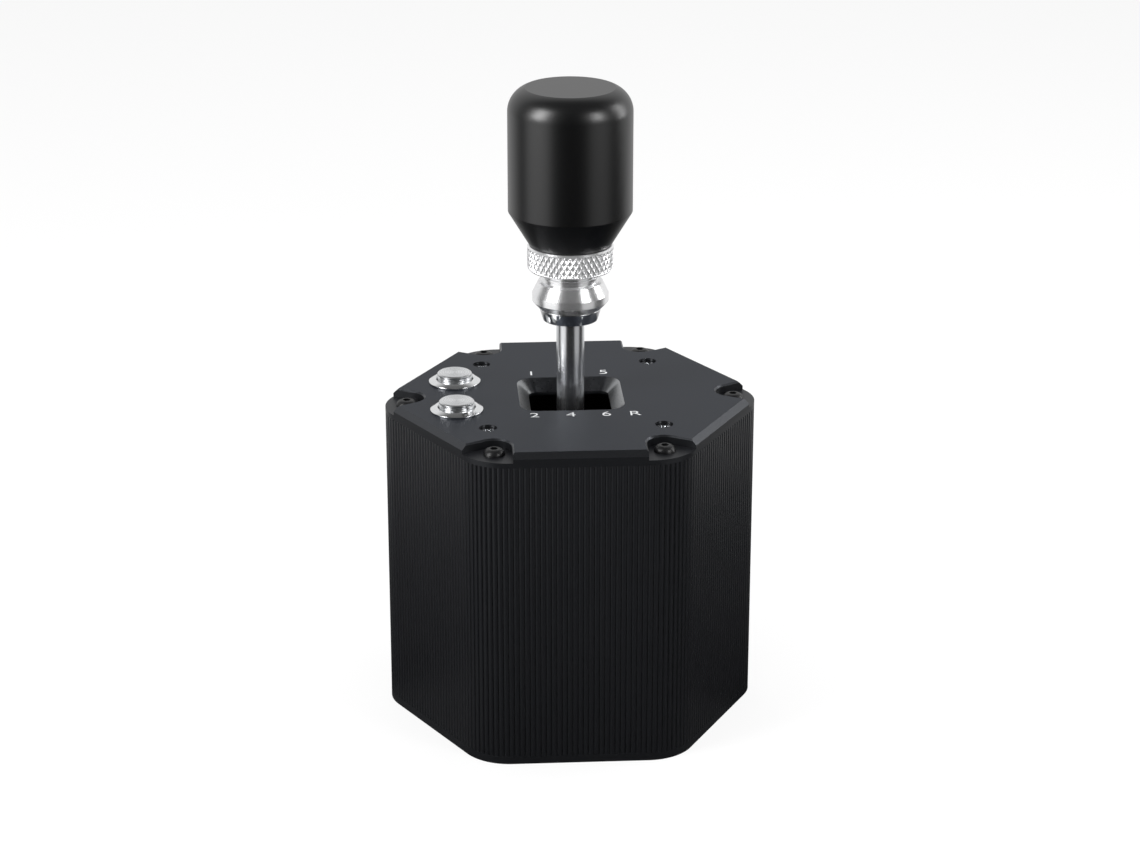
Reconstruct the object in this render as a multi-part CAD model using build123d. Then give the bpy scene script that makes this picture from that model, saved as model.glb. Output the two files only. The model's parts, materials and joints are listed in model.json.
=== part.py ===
from build123d import *
import os
from math import cos, pi, radians, sin, tan

# A gated gear lever on a hexagonal metal housing, for a driving rig.
# Millimetres. Z is up, the driver sits on the -Y side, and the origin is the
# middle of the underside.

# Housing
across_flats = 120.0
corner_radius = 18.0
base_thickness = 3.0
tube_height = 109.0
tube_wall = 3.0
groove_depth = 0.3
lid_thickness = 5.2
lid_bevel = 2.0
lip_depth = 3.0
lip_width = 2.0
lip_gap = 0.3

# Corner screws, one at each corner, top and bottom
corner_screw_inset = 7.7
screw_boss_merge = 0.7
screw_hole_radius = 2.2
pocket_radius = 6.2
pocket_floor = 1.9
pocket_rim_bevel = 0.6
pocket_spread_degrees = 30.0
corner_shank_radius = 1.7
corner_head_radius = 3.8
corner_head_height = 2.2
corner_head_flat_radius = 1.9
corner_head_bulge = 0.37
corner_hex_width = 2.5
corner_hex_depth = 1.4
corner_screw_length = 12.0
thread_gap = 0.05

# Lever opening in the lid
opening_width = 37.4
opening_depth = 35.4
opening_corner = 6.5
opening_slope = 4.2
slope_corner_share = 0.5

# Screws that hang the mechanism under the lid
hanger_x = 30.8
hanger_y = 33.6
hanger_bore_radius = 3.2
hanger_bore_depth = 4.1
hanger_clear_radius = 1.7
cap_head_radius = 2.75
cap_head_height = 3.0
cap_hex_width = 2.5
cap_hex_depth = 1.4
small_shank_radius = 1.45
small_hole_radius = 1.5
hanger_screw_length = 12.0

# Pillars of the mechanism
pillar_radius = 4.0
pillar_thread_depth = 14.0
pillar_stud_length = 7.0

# Gimbal frame, which carries the fore and aft pivot
pivot_drop = 47.2
frame_wall = 10.5
frame_depth = 80.0
frame_height = 16.0
frame_corner = 4.0
frame_side_gap = 3.0
window_corner = 3.0

# Yoke, which swings fore and aft in the frame
yoke_side_wall = 7.5
yoke_end_wall = 5.5
block_side_gap = 7.0
block_end_gap = 2.5
yoke_below_pivot = 8.0
yoke_above_pivot = 13.0
yoke_corner = 3.0
yoke_inner_corner = 2.0
trunnion_radius = 4.0
trunnion_seat_gap = 0.02
running_gap = 0.04
axial_gap = 0.3
trunnion_bush_radius = 6.0
trunnion_flange_radius = 8.0
left_trunnion_spare = 0.6
end_screw_depth = 8.0
end_screw_head_radius = 2.9
end_screw_head_height = 1.6
washer_radius = 6.5
washer_thickness = 1.2

# Lever block, which swings sideways in the yoke
block_width = 20.0
block_depth = 24.0
block_below_pivot = 11.0
block_above_pivot = 13.0
block_corner = 2.0
select_pin_radius = 3.0
select_pin_inner_end = 7.4
select_bush_radius = 4.5
select_flange_radius = 6.0
shaft_bush_radius = 6.5
shaft_bush_length = 8.0
shaft_bush_flange_radius = 8.5
shaft_bush_flange = 1.0

# Springs: middle radius, wire radius, turns
centring_spring_height = 8.5
centring_spring_radius = 2.5
centring_wire_radius = 0.35
centring_turns = 5
centring_pocket_radius = 3.3
centring_pocket_depth = 2.0
press_spring_radius = 6.8
press_wire_radius = 0.55
press_turns = 5
press_spring_length = 12.0
detent_spring_radius = 1.05
detent_wire_radius = 0.18
detent_turns = 7
button_spring_radius = 4.0
button_wire_radius = 0.28
button_turns = 3
spring_end_gap = 0.1

# Lever
shaft_radius = 5.0
shaft_foot_height = 40.0
shaft_rise = 46.0
collar_radius = 8.5
collar_height = 5.0
stop_ring_radius = 8.0
stop_ring_thickness = 1.5
stop_ring_gap = 0.15
guide_pin_radius = 2.25
guide_pin_foot_height = 16.0
guide_pin_seat = 10.0
magnet_thickness = 2.0

# Gate plate under the pivot
gate_foot_height = 21.0
gate_thickness = 3.0
gate_width = 74.0
gate_depth = 80.0
gate_corner = 6.0
lever_swing_degrees = 9.0
gate_clearance = 0.35
gate_slot_corner = 1.5

# Detent sector on the right trunnion, and its ball plunger
sector_radius = 14.0
sector_thickness = 4.0
sector_offset = 2.0
notch_radius = 1.7
notch_depth = 0.8
ball_radius = 1.5
ball_clearance = 0.25
ball_bore_gap = 0.04
ball_sink = 0.1
plunger_radius = 3.0
plunger_length = 14.0
plunger_bore_depth = 8.0
bracket_thickness = 1.7
bracket_width = 44.0
bracket_foot_width = 14.0
bracket_foot_height = 9.0
bracket_foot_reach = 8.3
bracket_drop = 26.0
bracket_window_radius = 9.0
bracket_screw_y = 17.0
bracket_screw_drop = 4.0
bracket_screw_length = 8.0

# Knob and its fittings, as heights above the lid and radii
cone_foot = 28.5
cone_foot_radius = 9.8
cone_top = 32.9
cone_top_radius = 11.1
adapter_low_band = 35.6
adapter_high_band = 38.3
adapter_band_radius = 13.6
adapter_shoulder = 42.6
adapter_shoulder_radius = 11.5
adapter_neck_foot = 42.9
adapter_neck_radius = 10.0
adapter_ring_radius = 10.5
adapter_ring_height = 1.2
adapter_top = 47.3
adapter_stud_radius = 5.9
adapter_stud_length = 24.0
lock_ring_top = 56.1
lock_ring_radius = 15.3
lock_ring_bevel = 0.6
knob_foot = 56.2
knob_foot_radius = 14.5
knob_foot_bevel = 0.6
knob_shoulder = 68.6
knob_radius = 22.0
knob_top = 112.8
knob_crown_radius = 9.0
knob_flat_radius = 15.9
knob_bore_spare = 2.0
crown_middle_share = 0.4
seat_gap = 0.02

# Push buttons
button_x = -41.2
button_y = 15.0
button_hole_radius = 8.0
button_barrel_radius = 7.9
button_barrel_length = 22.0
button_flange_radius = 9.4
button_flange_edge = 0.6
button_bevel_radius = 7.7
button_bezel_height = 1.6
button_well_rim_radius = 6.9
button_well_radius = 6.55
button_well_depth = 6.0
button_cap_radius = 6.25
button_cap_rise = 3.8
button_cap_bevel = 0.5
button_cap_sink = 2.3
button_groove_depth = 0.35
button_groove_low = 1.9
button_groove_high = 2.3
button_nut_width = 19.0
button_nut_thickness = 2.5
boot_radius = 6.0
boot_length = 8.0
lead_radius = 1.1
lead_arc_share = 0.45
lead_height_from_boot = 68.0
lead_points = [(-44.5, 14.6, 46.0), (-46.0, 12.0, 26.0)]
lead_last_bend = (-42.0, 9.0)

# Circuit board, sensors and data socket
board_foot_height = 6.5
board_thickness = 1.6
board_width = 60.0
board_front = -24.0
board_rear = 44.0
tongue_width = 24.0
tongue_rear = 55.5
board_screw_inset = 4.0
board_rear_screw_inset = 6.0
board_post_radius = 3.0
board_screw_head_radius = 2.7
board_screw_head_height = 1.6
chip_width = 3.0
chip_depth = 4.0
chip_height = 0.8
connector_width = 6.0
connector_depth = 26.0
connector_height = 5.0
socket_width = 9.0
socket_height = 3.2
socket_depth = 7.6
socket_wall = 0.35
socket_corner = 1.5
socket_tongue_width = 6.6
socket_tongue_height = 0.7
socket_tongue_depth = 5.5
socket_cut_gap = 0.35

# Mounting nuts in the base
mount_x = 40.0
mount_y = 20.0
mount_thread_radius = 2.5
mount_spigot_radius = 4.2
mount_nut_radius = 5.6
mount_nut_height = 5.0
flat_head_radius = 3.9
flat_head_depth = 2.2
flat_hex_depth = 1.2

# Length that a cut runs past a face
overrun = 1.0

CORNERS = 6
QUARTER = 90
apothem = across_flats / 2
corner_secant = 1 / cos(pi / CORNERS)
corner_screw_reach = apothem * corner_secant - corner_radius * (corner_secant - 1) - corner_screw_inset
screw_boss_radius = corner_screw_inset - tube_wall + screw_boss_merge
tube_foot = base_thickness
tube_top = tube_foot + tube_height
lid_top = tube_top + lid_thickness
lip_foot = tube_top - lip_depth
pivot_height = lid_top - pivot_drop
yoke_inner_width = block_width + 2 * block_side_gap
yoke_inner_depth = block_depth + 2 * block_end_gap
yoke_width = yoke_inner_width + 2 * yoke_side_wall
yoke_depth = yoke_inner_depth + 2 * yoke_end_wall
window_width = yoke_width + 2 * frame_side_gap
window_depth = yoke_depth + 2 * frame_side_gap
frame_width = window_width + 2 * frame_wall
left_trunnion_reach = frame_width / 2 + left_trunnion_spare
board_screw_x = board_width / 2 - board_screw_inset
board_screw_front = board_front + board_screw_inset
board_screw_rear = board_rear - board_rear_screw_inset
frame_foot = pivot_height - frame_height / 2
frame_top = frame_foot + frame_height
gate_top = gate_foot_height + gate_thickness
board_top = board_foot_height + board_thickness
shaft_top = lid_top + shaft_rise
block_foot = pivot_height - block_below_pivot
block_top = pivot_height + block_above_pivot
press_spring_foot = block_top + shaft_bush_flange
collar_foot = press_spring_foot + press_spring_length
magnet_foot = guide_pin_foot_height - magnet_thickness
ball_height = pivot_height - sector_radius - ball_clearance - ball_radius
plunger_top = ball_height - ball_sink
sector_x = frame_width / 2 + sector_offset + sector_thickness / 2
swing = tan(radians(lever_swing_degrees))


def prism(sketch, low, high):
    """A flat outline drawn up from one height to another."""
    return extrude(Pos(0, 0, low) * sketch, amount=high - low)


def rod(radius, low, high, x=0, y=0):
    """A round upright bar between two heights."""
    return Pos(x, y, low) * extrude(Circle(radius), amount=high - low)


def rod_x(radius, start, end, y=0, z=0):
    """A round bar along X, drawn from its lower X."""
    low, high = sorted((start, end))
    return Pos(low, y, z) * Rot(0, QUARTER, 0) * extrude(Circle(radius), amount=high - low)


def rod_y(radius, start, end, x=0, z=0):
    """A round bar along Y, drawn from its lower Y."""
    low, high = sorted((start, end))
    return Pos(x, low, z) * Rot(-QUARTER, 0, 0) * extrude(Circle(radius), amount=high - low)


def taper(low_radius, high_radius, height):
    """A cone or its frustum that stands on Z=0."""
    return Cone(low_radius, high_radius, height, align=(Align.CENTER, Align.CENTER, Align.MIN))


def block(x, y, z):
    """A box between two values on each axis."""
    return Pos(x[0], y[0], z[0]) * Box(
        x[1] - x[0], y[1] - y[0], z[1] - z[0], align=(Align.MIN, Align.MIN, Align.MIN)
    )


def hexagon(reach, corner):
    """The housing outline at a distance from the middle to each flat."""
    outline = RegularPolygon(reach, CORNERS, major_radius=False)
    return fillet(outline.vertices(), corner)


def corner_places():
    """The six corner screw places, as (x, y, angle in degrees)."""
    step = 360 / CORNERS
    for number in range(CORNERS):
        angle = radians(number * step)
        yield corner_screw_reach * cos(angle), corner_screw_reach * sin(angle), number * step


def four_places(x, y):
    """The four corners of a rectangle about the middle."""
    return [(sx * x, sy * y) for sx in (-1, 1) for sy in (-1, 1)]


def turned(points):
    """A solid of revolution about Z from (radius, height) points."""
    outline = Polyline(*[(r, z) for r, z in points], close=True)
    face = make_face(outline)
    return revolve(Plane.XZ * face, axis=Axis.Z)


def spring(radius, wire, length, turns):
    """A coil spring that stands on Z=0, one unbroken wire."""
    inner = length - 2 * wire
    path = Helix(pitch=inner / turns, height=inner, radius=radius)
    start = Plane(origin=path @ 0, z_dir=path % 0)
    coil = sweep(start * Circle(wire), path=path, is_frenet=True)
    gap = inner / turns - 2 * wire
    print(f"spring of {turns} turns, least gap to itself {gap:.2f}")
    return Pos(0, 0, wire) * coil


def hex_socket(width, depth, top):
    """The cut of a hexagon key socket that opens upwards."""
    return prism(RegularPolygon(width / 2, CORNERS, major_radius=False), top - depth, top + overrun)


def make_base_plate():
    plate = prism(hexagon(apothem, corner_radius), 0, base_thickness)
    for x, y, _ in corner_places():
        plate -= rod(screw_hole_radius, -overrun, base_thickness + overrun, x, y)
        plate -= Pos(x, y, 0) * taper(flat_head_radius, screw_hole_radius, flat_head_depth)
    for x, y in four_places(mount_x, mount_y):
        plate -= rod(mount_spigot_radius, -overrun, base_thickness + overrun, x, y)
    for x in (-board_screw_x, board_screw_x):
        for y in (board_screw_front, board_screw_rear):
            plate -= rod(small_hole_radius, -overrun, base_thickness + overrun, x, y)
    return plate


def socket_cut_height():
    """The height of the data socket's middle."""
    return board_top + socket_height / 2


def make_housing_tube():
    tube = prism(hexagon(apothem - groove_depth, corner_radius - groove_depth), tube_foot, tube_top)
    inside = hexagon(apothem - tube_wall, corner_radius - tube_wall)
    tube -= prism(inside, tube_foot - overrun, tube_top + overrun)
    for x, y, _ in corner_places():
        tube += rod(screw_boss_radius, tube_foot, tube_top, x, y)
    for x, y, _ in corner_places():
        tube -= rod(corner_shank_radius + thread_gap, tube_foot - overrun, tube_top + overrun, x, y)
    cut_width = socket_width + 2 * socket_cut_gap
    cut_height = socket_height + 2 * socket_cut_gap
    slot = RectangleRounded(cut_width, cut_height, socket_corner)
    cut = extrude(Plane.XZ * slot, amount=2 * tube_wall + overrun, both=True)
    return tube - Pos(0, apothem, socket_cut_height()) * cut


def pocket_outline(radius):
    """A corner pocket round its screw, open square to the two flats beside it."""
    outline = Circle(radius)
    channel = Pos(apothem / 2, 0) * Rectangle(apothem, 2 * radius)
    for angle in (-pocket_spread_degrees, pocket_spread_degrees):
        outline += Rot(0, 0, angle) * channel
    return Pos(corner_screw_reach, 0) * outline


def pocket_rim():
    """The bevelled upper edge of a corner pocket."""
    low = lid_top - pocket_rim_bevel
    wide = pocket_radius + pocket_rim_bevel
    rim = Pos(corner_screw_reach, 0, low) * taper(pocket_radius, wide, pocket_rim_bevel)
    section = Plane.YZ * make_face(
        Polyline((-pocket_radius, low), (pocket_radius, low), (wide, lid_top), (-wide, lid_top), close=True)
    )
    channel = extrude(section, amount=apothem)
    for angle in (-pocket_spread_degrees, pocket_spread_degrees):
        rim += Pos(corner_screw_reach, 0, 0) * Rot(0, 0, angle) * channel
    return rim


def make_lid():
    lid = prism(hexagon(apothem, corner_radius), tube_top, lid_top)
    top_edges = lid.edges().filter_by(lambda e: abs(e.center().Z - lid_top) < seat_gap)
    lid = chamfer(top_edges, lid_bevel)
    inset = tube_wall + lip_gap
    lip = hexagon(apothem - inset, corner_radius - inset)
    lip -= hexagon(apothem - inset - lip_width, corner_radius - inset - lip_width)
    lip = prism(lip, lip_foot, tube_top)
    for x, y, _ in corner_places():
        lip -= rod(screw_boss_radius + lip_gap, lip_foot - overrun, tube_top + overrun, x, y)
    lid += lip
    floor = tube_top + pocket_floor
    pocket = prism(pocket_outline(pocket_radius), floor, lid_top + overrun) + pocket_rim()
    for x, y, angle in corner_places():
        lid -= Rot(0, 0, angle) * pocket
        lid -= rod(screw_hole_radius, tube_top - overrun, floor + overrun, x, y)
    for x, y in four_places(hanger_x, hanger_y):
        lid -= rod(hanger_bore_radius, lid_top - hanger_bore_depth, lid_top + overrun, x, y)
        lid -= rod(hanger_clear_radius, tube_top - overrun, lid_top, x, y)
    for y in (-button_y, button_y):
        lid -= rod(button_hole_radius, tube_top - overrun, lid_top + overrun, button_x, y)
    inner_width = opening_width - 2 * opening_slope
    inner_depth = opening_depth - 2 * opening_slope
    wide = RectangleRounded(opening_width, opening_depth, opening_corner)
    narrow = RectangleRounded(inner_width, inner_depth, opening_corner * slope_corner_share)
    slope = loft([Pos(0, 0, lid_top - opening_slope) * narrow, Pos(0, 0, lid_top) * wide])
    lid -= slope
    return lid - prism(narrow, tube_top - overrun, lid_top)


def button_head_screw(head_radius, rise, flat_radius, bulge, hex_width, hex_depth, shank, length):
    """A domed screw with its head's underside at Z=0 and its shank below."""
    dome = make_face(
        [
            Line((0, 0), (head_radius, 0)),
            ThreePointArc(
                (head_radius, 0),
                ((head_radius + flat_radius) / 2 + bulge, rise / 2 + bulge),
                (flat_radius, rise),
            ),
            Line((flat_radius, rise), (0, rise)),
            Line((0, rise), (0, 0)),
        ]
    )
    head = revolve(Plane.XZ * dome, axis=Axis.Z)
    return head + rod(shank, -length, 0) - hex_socket(hex_width, hex_depth, rise)


def cap_screw(head_radius, head_height, hex_width, hex_depth, shank, length):
    """A round-headed cap screw, its head's underside at Z=0."""
    screw = rod(head_radius, 0, head_height) + rod(shank, -length, 0)
    return screw - hex_socket(hex_width, hex_depth, head_height)


def make_corner_screws():
    screw = button_head_screw(
        corner_head_radius, corner_head_height, corner_head_flat_radius, corner_head_bulge,
        corner_hex_width, corner_hex_depth, corner_shank_radius, corner_screw_length,
    )
    seat = tube_top + pocket_floor + seat_gap
    return Compound([Pos(x, y, seat) * screw for x, y, _ in corner_places()])


def make_base_screws():
    sink = taper(flat_head_radius - thread_gap, corner_shank_radius, flat_head_depth)
    screw = sink + rod(corner_shank_radius, 0, corner_screw_length)
    key = RegularPolygon(corner_hex_width / 2, CORNERS, major_radius=False)
    screw -= prism(key, -overrun, flat_hex_depth)
    return Compound([Pos(x, y, 0) * screw for x, y, _ in corner_places()])


def make_mounting_nuts():
    nut = rod(mount_nut_radius, base_thickness + seat_gap, base_thickness + mount_nut_height)
    nut += rod(mount_spigot_radius - thread_gap, 0, base_thickness + mount_nut_height)
    nut -= rod(mount_thread_radius, -overrun, base_thickness + mount_nut_height + overrun)
    return Compound([Pos(x, y, 0) * nut for x, y in four_places(mount_x, mount_y)])


def make_mechanism_screws():
    screw = cap_screw(
        cap_head_radius, cap_head_height, cap_hex_width, cap_hex_depth,
        small_shank_radius, hanger_screw_length,
    )
    seat = lid_top - hanger_bore_depth + seat_gap
    return Compound([Pos(x, y, seat) * screw for x, y in four_places(hanger_x, hanger_y)])


def make_upper_pillars():
    low = frame_top + seat_gap
    high = tube_top - seat_gap
    pillar = rod(pillar_radius, low, high) + rod(small_shank_radius, low - pillar_stud_length, low)
    pillar -= rod(small_hole_radius, high - pillar_thread_depth, high + overrun)
    return Compound([Pos(x, y, 0) * pillar for x, y in four_places(hanger_x, hanger_y)])


def make_lower_pillars():
    low = gate_top + seat_gap
    high = frame_foot - seat_gap
    pillar = rod(pillar_radius, low, high) + rod(small_shank_radius, high, high + pillar_stud_length)
    pillar -= rod(small_hole_radius, low - overrun, low + pillar_thread_depth)
    return Compound([Pos(x, y, 0) * pillar for x, y in four_places(hanger_x, hanger_y)])


def make_gimbal_frame():
    frame = prism(RectangleRounded(frame_width, frame_depth, frame_corner), frame_foot, frame_top)
    frame -= prism(
        RectangleRounded(window_width, window_depth, window_corner), frame_foot - overrun, frame_top + overrun
    )
    frame -= rod_x(trunnion_bush_radius + seat_gap, -frame_width, frame_width, z=pivot_height)
    for x, y in four_places(hanger_x, hanger_y):
        frame -= rod(small_hole_radius, frame_foot - overrun, frame_top + overrun, x, y)
    for y in (-bracket_screw_y, bracket_screw_y):
        z = pivot_height - bracket_screw_drop
        frame -= rod_x(small_hole_radius, window_width / 2 + overrun, frame_width / 2 + overrun, y=y, z=z)
    return frame


def make_trunnion_bushes():
    """Flanged sleeves in the frame's two sides."""
    inner = window_width / 2
    outer = frame_width / 2
    flange_start = yoke_width / 2 + axial_gap
    bushes = []
    for side in (-1, 1):
        bush = rod_x(trunnion_bush_radius, side * inner, side * outer, z=pivot_height)
        bush += rod_x(trunnion_flange_radius, side * flange_start, side * (inner - seat_gap), z=pivot_height)
        bush += rod_x(trunnion_bush_radius, side * flange_start, side * inner, z=pivot_height)
        bush -= rod_x(trunnion_radius + running_gap, -frame_width, frame_width, z=pivot_height)
        bushes.append(bush)
    return Compound(bushes)


def make_yoke():
    low = pivot_height - yoke_below_pivot
    high = pivot_height + yoke_above_pivot
    yoke = prism(RectangleRounded(yoke_width, yoke_depth, yoke_corner), low, high)
    yoke -= prism(
        RectangleRounded(yoke_inner_width, yoke_inner_depth, yoke_inner_corner), low - overrun, high + overrun
    )
    yoke -= rod_x(trunnion_radius + trunnion_seat_gap, -yoke_width, yoke_width, z=pivot_height)
    yoke -= rod_y(select_bush_radius + seat_gap, -yoke_depth, yoke_depth, z=pivot_height)
    reach = yoke_inner_width / 2 + centring_pocket_depth
    height = pivot_height + centring_spring_height
    return yoke - rod_x(centring_pocket_radius, -reach, reach, z=height)


def make_trunnion(side, reach):
    """A pivot pin in one side of the yoke, drilled for its end screw."""
    pin = rod_x(trunnion_radius, side * yoke_inner_width / 2, side * reach, z=pivot_height)
    bottom = reach - end_screw_depth
    drill = rod_x(small_hole_radius, side * bottom, side * (reach + overrun), z=pivot_height)
    return pin - drill


def make_end_screw(side, seat):
    """A small screw along X whose head sits at the given distance."""
    head_start = seat + seat_gap
    head_end = head_start + end_screw_head_height
    tip = seat + overrun - end_screw_depth
    head = rod_x(end_screw_head_radius, side * head_start, side * head_end, z=pivot_height)
    return head + rod_x(small_shank_radius, side * tip, side * head_start, z=pivot_height)


def make_washer(side, seat):
    washer = rod_x(washer_radius, side * (seat + seat_gap), side * (seat + washer_thickness), z=pivot_height)
    return washer - rod_x(small_hole_radius, -frame_width, frame_width, z=pivot_height)


def make_detent_sector():
    start = sector_x - sector_thickness / 2
    end = sector_x + sector_thickness / 2
    sector = rod_x(sector_radius, start, end, z=pivot_height)
    centre_reach = sector_radius + notch_radius - notch_depth
    for step in (-1, 0, 1):
        angle = radians(step * lever_swing_degrees)
        y = centre_reach * sin(angle)
        z = pivot_height - centre_reach * cos(angle)
        sector -= rod_x(notch_radius, start - overrun, end + overrun, y=y, z=z)
    return sector - rod_x(trunnion_radius + trunnion_seat_gap, start - overrun, end + overrun, z=pivot_height)


def make_detent_bracket():
    start = frame_width / 2 + seat_gap
    foot_z = pivot_height - bracket_drop
    sheet_x = (start, start + bracket_thickness)
    half = bracket_width / 2
    bracket = block(sheet_x, (-half, half), (foot_z, pivot_height))
    bracket += block(
        (start, start + bracket_thickness + bracket_foot_reach),
        (-bracket_foot_width / 2, bracket_foot_width / 2),
        (foot_z, foot_z + bracket_foot_height),
    )
    sheet_end = start + bracket_thickness + seat_gap
    bracket -= rod_x(bracket_window_radius, start - overrun, sheet_end, z=pivot_height)
    bracket -= rod(plunger_radius + thread_gap, foot_z - overrun, plunger_top + overrun, sector_x)
    screw_z = pivot_height - bracket_screw_drop
    for y in (-bracket_screw_y, bracket_screw_y):
        bracket -= rod_x(hanger_clear_radius, start - overrun, frame_width, y=y, z=screw_z)
    return bracket


def make_bracket_screws():
    seat = frame_width / 2 + seat_gap + bracket_thickness
    z = pivot_height - bracket_screw_drop
    screws = []
    for y in (-bracket_screw_y, bracket_screw_y):
        screw = rod_x(end_screw_head_radius, seat + seat_gap, seat + end_screw_head_height, y=y, z=z)
        screw += rod_x(small_shank_radius, seat - bracket_screw_length, seat + seat_gap, y=y, z=z)
        screws.append(screw)
    return Compound(screws)


def make_plunger_body():
    body = rod(plunger_radius, plunger_top - plunger_length, plunger_top, sector_x)
    bottom = plunger_top - plunger_bore_depth
    return body - rod(ball_radius + ball_bore_gap, bottom, plunger_top + overrun, sector_x)


def make_detent_spring():
    foot = plunger_top - plunger_bore_depth + spring_end_gap
    length = ball_height - ball_radius - spring_end_gap - foot
    return Pos(sector_x, 0, foot) * spring(detent_spring_radius, detent_wire_radius, length, detent_turns)


def make_lever_block():
    body = prism(RectangleRounded(block_width, block_depth, block_corner), block_foot, block_top)
    body -= rod(shaft_bush_radius + seat_gap, block_foot - overrun, block_top + overrun)
    for side in (-1, 1):
        body -= rod_y(
            select_pin_radius + trunnion_seat_gap, side * shaft_radius, side * block_depth, z=pivot_height
        )
    return body


def make_select_pins():
    """Stub pins of the sideways pivot, fixed in the lever block."""
    end = yoke_depth / 2
    start = select_pin_inner_end
    return Compound(
        [rod_y(select_pin_radius, side * start, side * end, z=pivot_height) for side in (-1, 1)]
    )


def make_select_bushes():
    inner = yoke_inner_depth / 2
    outer = yoke_depth / 2
    flange_start = block_depth / 2 + axial_gap
    bushes = []
    for side in (-1, 1):
        bush = rod_y(select_bush_radius, side * flange_start, side * outer, z=pivot_height)
        bush += rod_y(select_flange_radius, side * flange_start, side * (inner - seat_gap), z=pivot_height)
        bush -= rod_y(select_pin_radius + running_gap, -yoke_depth, yoke_depth, z=pivot_height)
        bushes.append(bush)
    return Compound(bushes)


def make_shaft_bushes():
    upper = rod(shaft_bush_radius, block_top - shaft_bush_length, block_top + seat_gap)
    upper += rod(shaft_bush_flange_radius, block_top + seat_gap, press_spring_foot)
    lower = rod(shaft_bush_radius, block_foot - seat_gap, block_foot + shaft_bush_length)
    lower += rod(shaft_bush_flange_radius, block_foot - shaft_bush_flange, block_foot - seat_gap)
    bore = rod(shaft_radius + running_gap, block_foot - frame_height, block_top + frame_height)
    return Compound([upper - bore, lower - bore])


def make_centring_spring(side):
    """A small spring between the lever block and one side of the yoke."""
    start = block_width / 2 + spring_end_gap
    end = yoke_inner_width / 2 + centring_pocket_depth - spring_end_gap
    coil = spring(centring_spring_radius, centring_wire_radius, end - start, centring_turns)
    height = pivot_height + centring_spring_height
    return Pos(side * start, 0, height) * Rot(0, side * QUARTER, 0) * coil


def make_press_spring():
    coil = spring(
        press_spring_radius, press_wire_radius, press_spring_length - 2 * spring_end_gap, press_turns
    )
    return Pos(0, 0, press_spring_foot + spring_end_gap) * coil


def make_lever_shaft():
    shaft = rod(shaft_radius, shaft_foot_height, shaft_top)
    return shaft - rod(
        guide_pin_radius + trunnion_seat_gap, shaft_foot_height - overrun, shaft_foot_height + guide_pin_seat
    )


def make_guide_pin():
    return rod(guide_pin_radius, guide_pin_foot_height, shaft_foot_height + guide_pin_seat - seat_gap)


def make_position_magnet():
    return rod(guide_pin_radius, magnet_foot, guide_pin_foot_height - seat_gap)


def make_spring_collar():
    collar = rod(collar_radius, collar_foot, collar_foot + collar_height)
    return collar - rod(shaft_radius + seat_gap, collar_foot - overrun, collar_foot + collar_height + overrun)


def make_stop_ring():
    high = block_foot - shaft_bush_flange - stop_ring_gap
    low = high - stop_ring_thickness
    return rod(stop_ring_radius, low, high) - rod(shaft_radius + seat_gap, low - overrun, high + overrun)


def make_collet_cone():
    cone = turned(
        [(shaft_radius + seat_gap, cone_foot), (cone_foot_radius, cone_foot),
         (cone_top_radius, cone_top - seat_gap), (shaft_radius + seat_gap, cone_top - seat_gap)]
    )
    return Pos(0, 0, lid_top) * cone


def make_knob_adapter():
    ring_foot = adapter_top - adapter_ring_height
    body = turned(
        [(0, cone_top), (cone_top_radius, cone_top), (adapter_band_radius, adapter_low_band),
         (adapter_band_radius, adapter_high_band), (adapter_shoulder_radius, adapter_shoulder),
         (adapter_neck_radius, adapter_neck_foot), (adapter_neck_radius, ring_foot),
         (adapter_ring_radius, ring_foot),
         (adapter_ring_radius, adapter_top), (adapter_stud_radius, adapter_top),
         (adapter_stud_radius, adapter_top + adapter_stud_length), (0, adapter_top + adapter_stud_length)]
    )
    body -= rod(shaft_radius + seat_gap, 0, shaft_rise + seat_gap)
    return Pos(0, 0, lid_top) * body


def make_lock_ring():
    low = adapter_top + seat_gap
    bore = adapter_stud_radius + seat_gap
    edge = lock_ring_radius - lock_ring_bevel
    ring = turned(
        [(bore, low), (edge, low), (lock_ring_radius, low + lock_ring_bevel),
         (lock_ring_radius, lock_ring_top - lock_ring_bevel), (edge, lock_ring_top), (bore, lock_ring_top)]
    )
    return Pos(0, 0, lid_top) * ring


def make_knob():
    flat_reach = knob_crown_radius - knob_radius + knob_flat_radius
    crown_foot = knob_top - (knob_crown_radius**2 - flat_reach**2) ** 0.5
    centre_r = knob_radius - knob_crown_radius
    middle_angle = QUARTER * crown_middle_share
    middle = (
        centre_r + knob_crown_radius * cos(radians(middle_angle)),
        crown_foot + knob_crown_radius * sin(radians(middle_angle)),
    )
    side = Polyline(
        (0, knob_top), (0, knob_foot), (knob_foot_radius - knob_foot_bevel, knob_foot),
        (knob_foot_radius, knob_foot + knob_foot_bevel), (knob_radius, knob_shoulder),
        (knob_radius, crown_foot),
    )
    crown = ThreePointArc((knob_radius, crown_foot), middle, (knob_flat_radius, knob_top))
    flat = Line((knob_flat_radius, knob_top), (0, knob_top))
    knob = revolve(Plane.XZ * make_face([*side.edges(), crown, flat]), axis=Axis.Z)
    bore_top = adapter_top + adapter_stud_length + knob_bore_spare
    knob -= rod(adapter_stud_radius + seat_gap, 0, bore_top)
    return Pos(0, 0, lid_top) * knob


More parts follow.
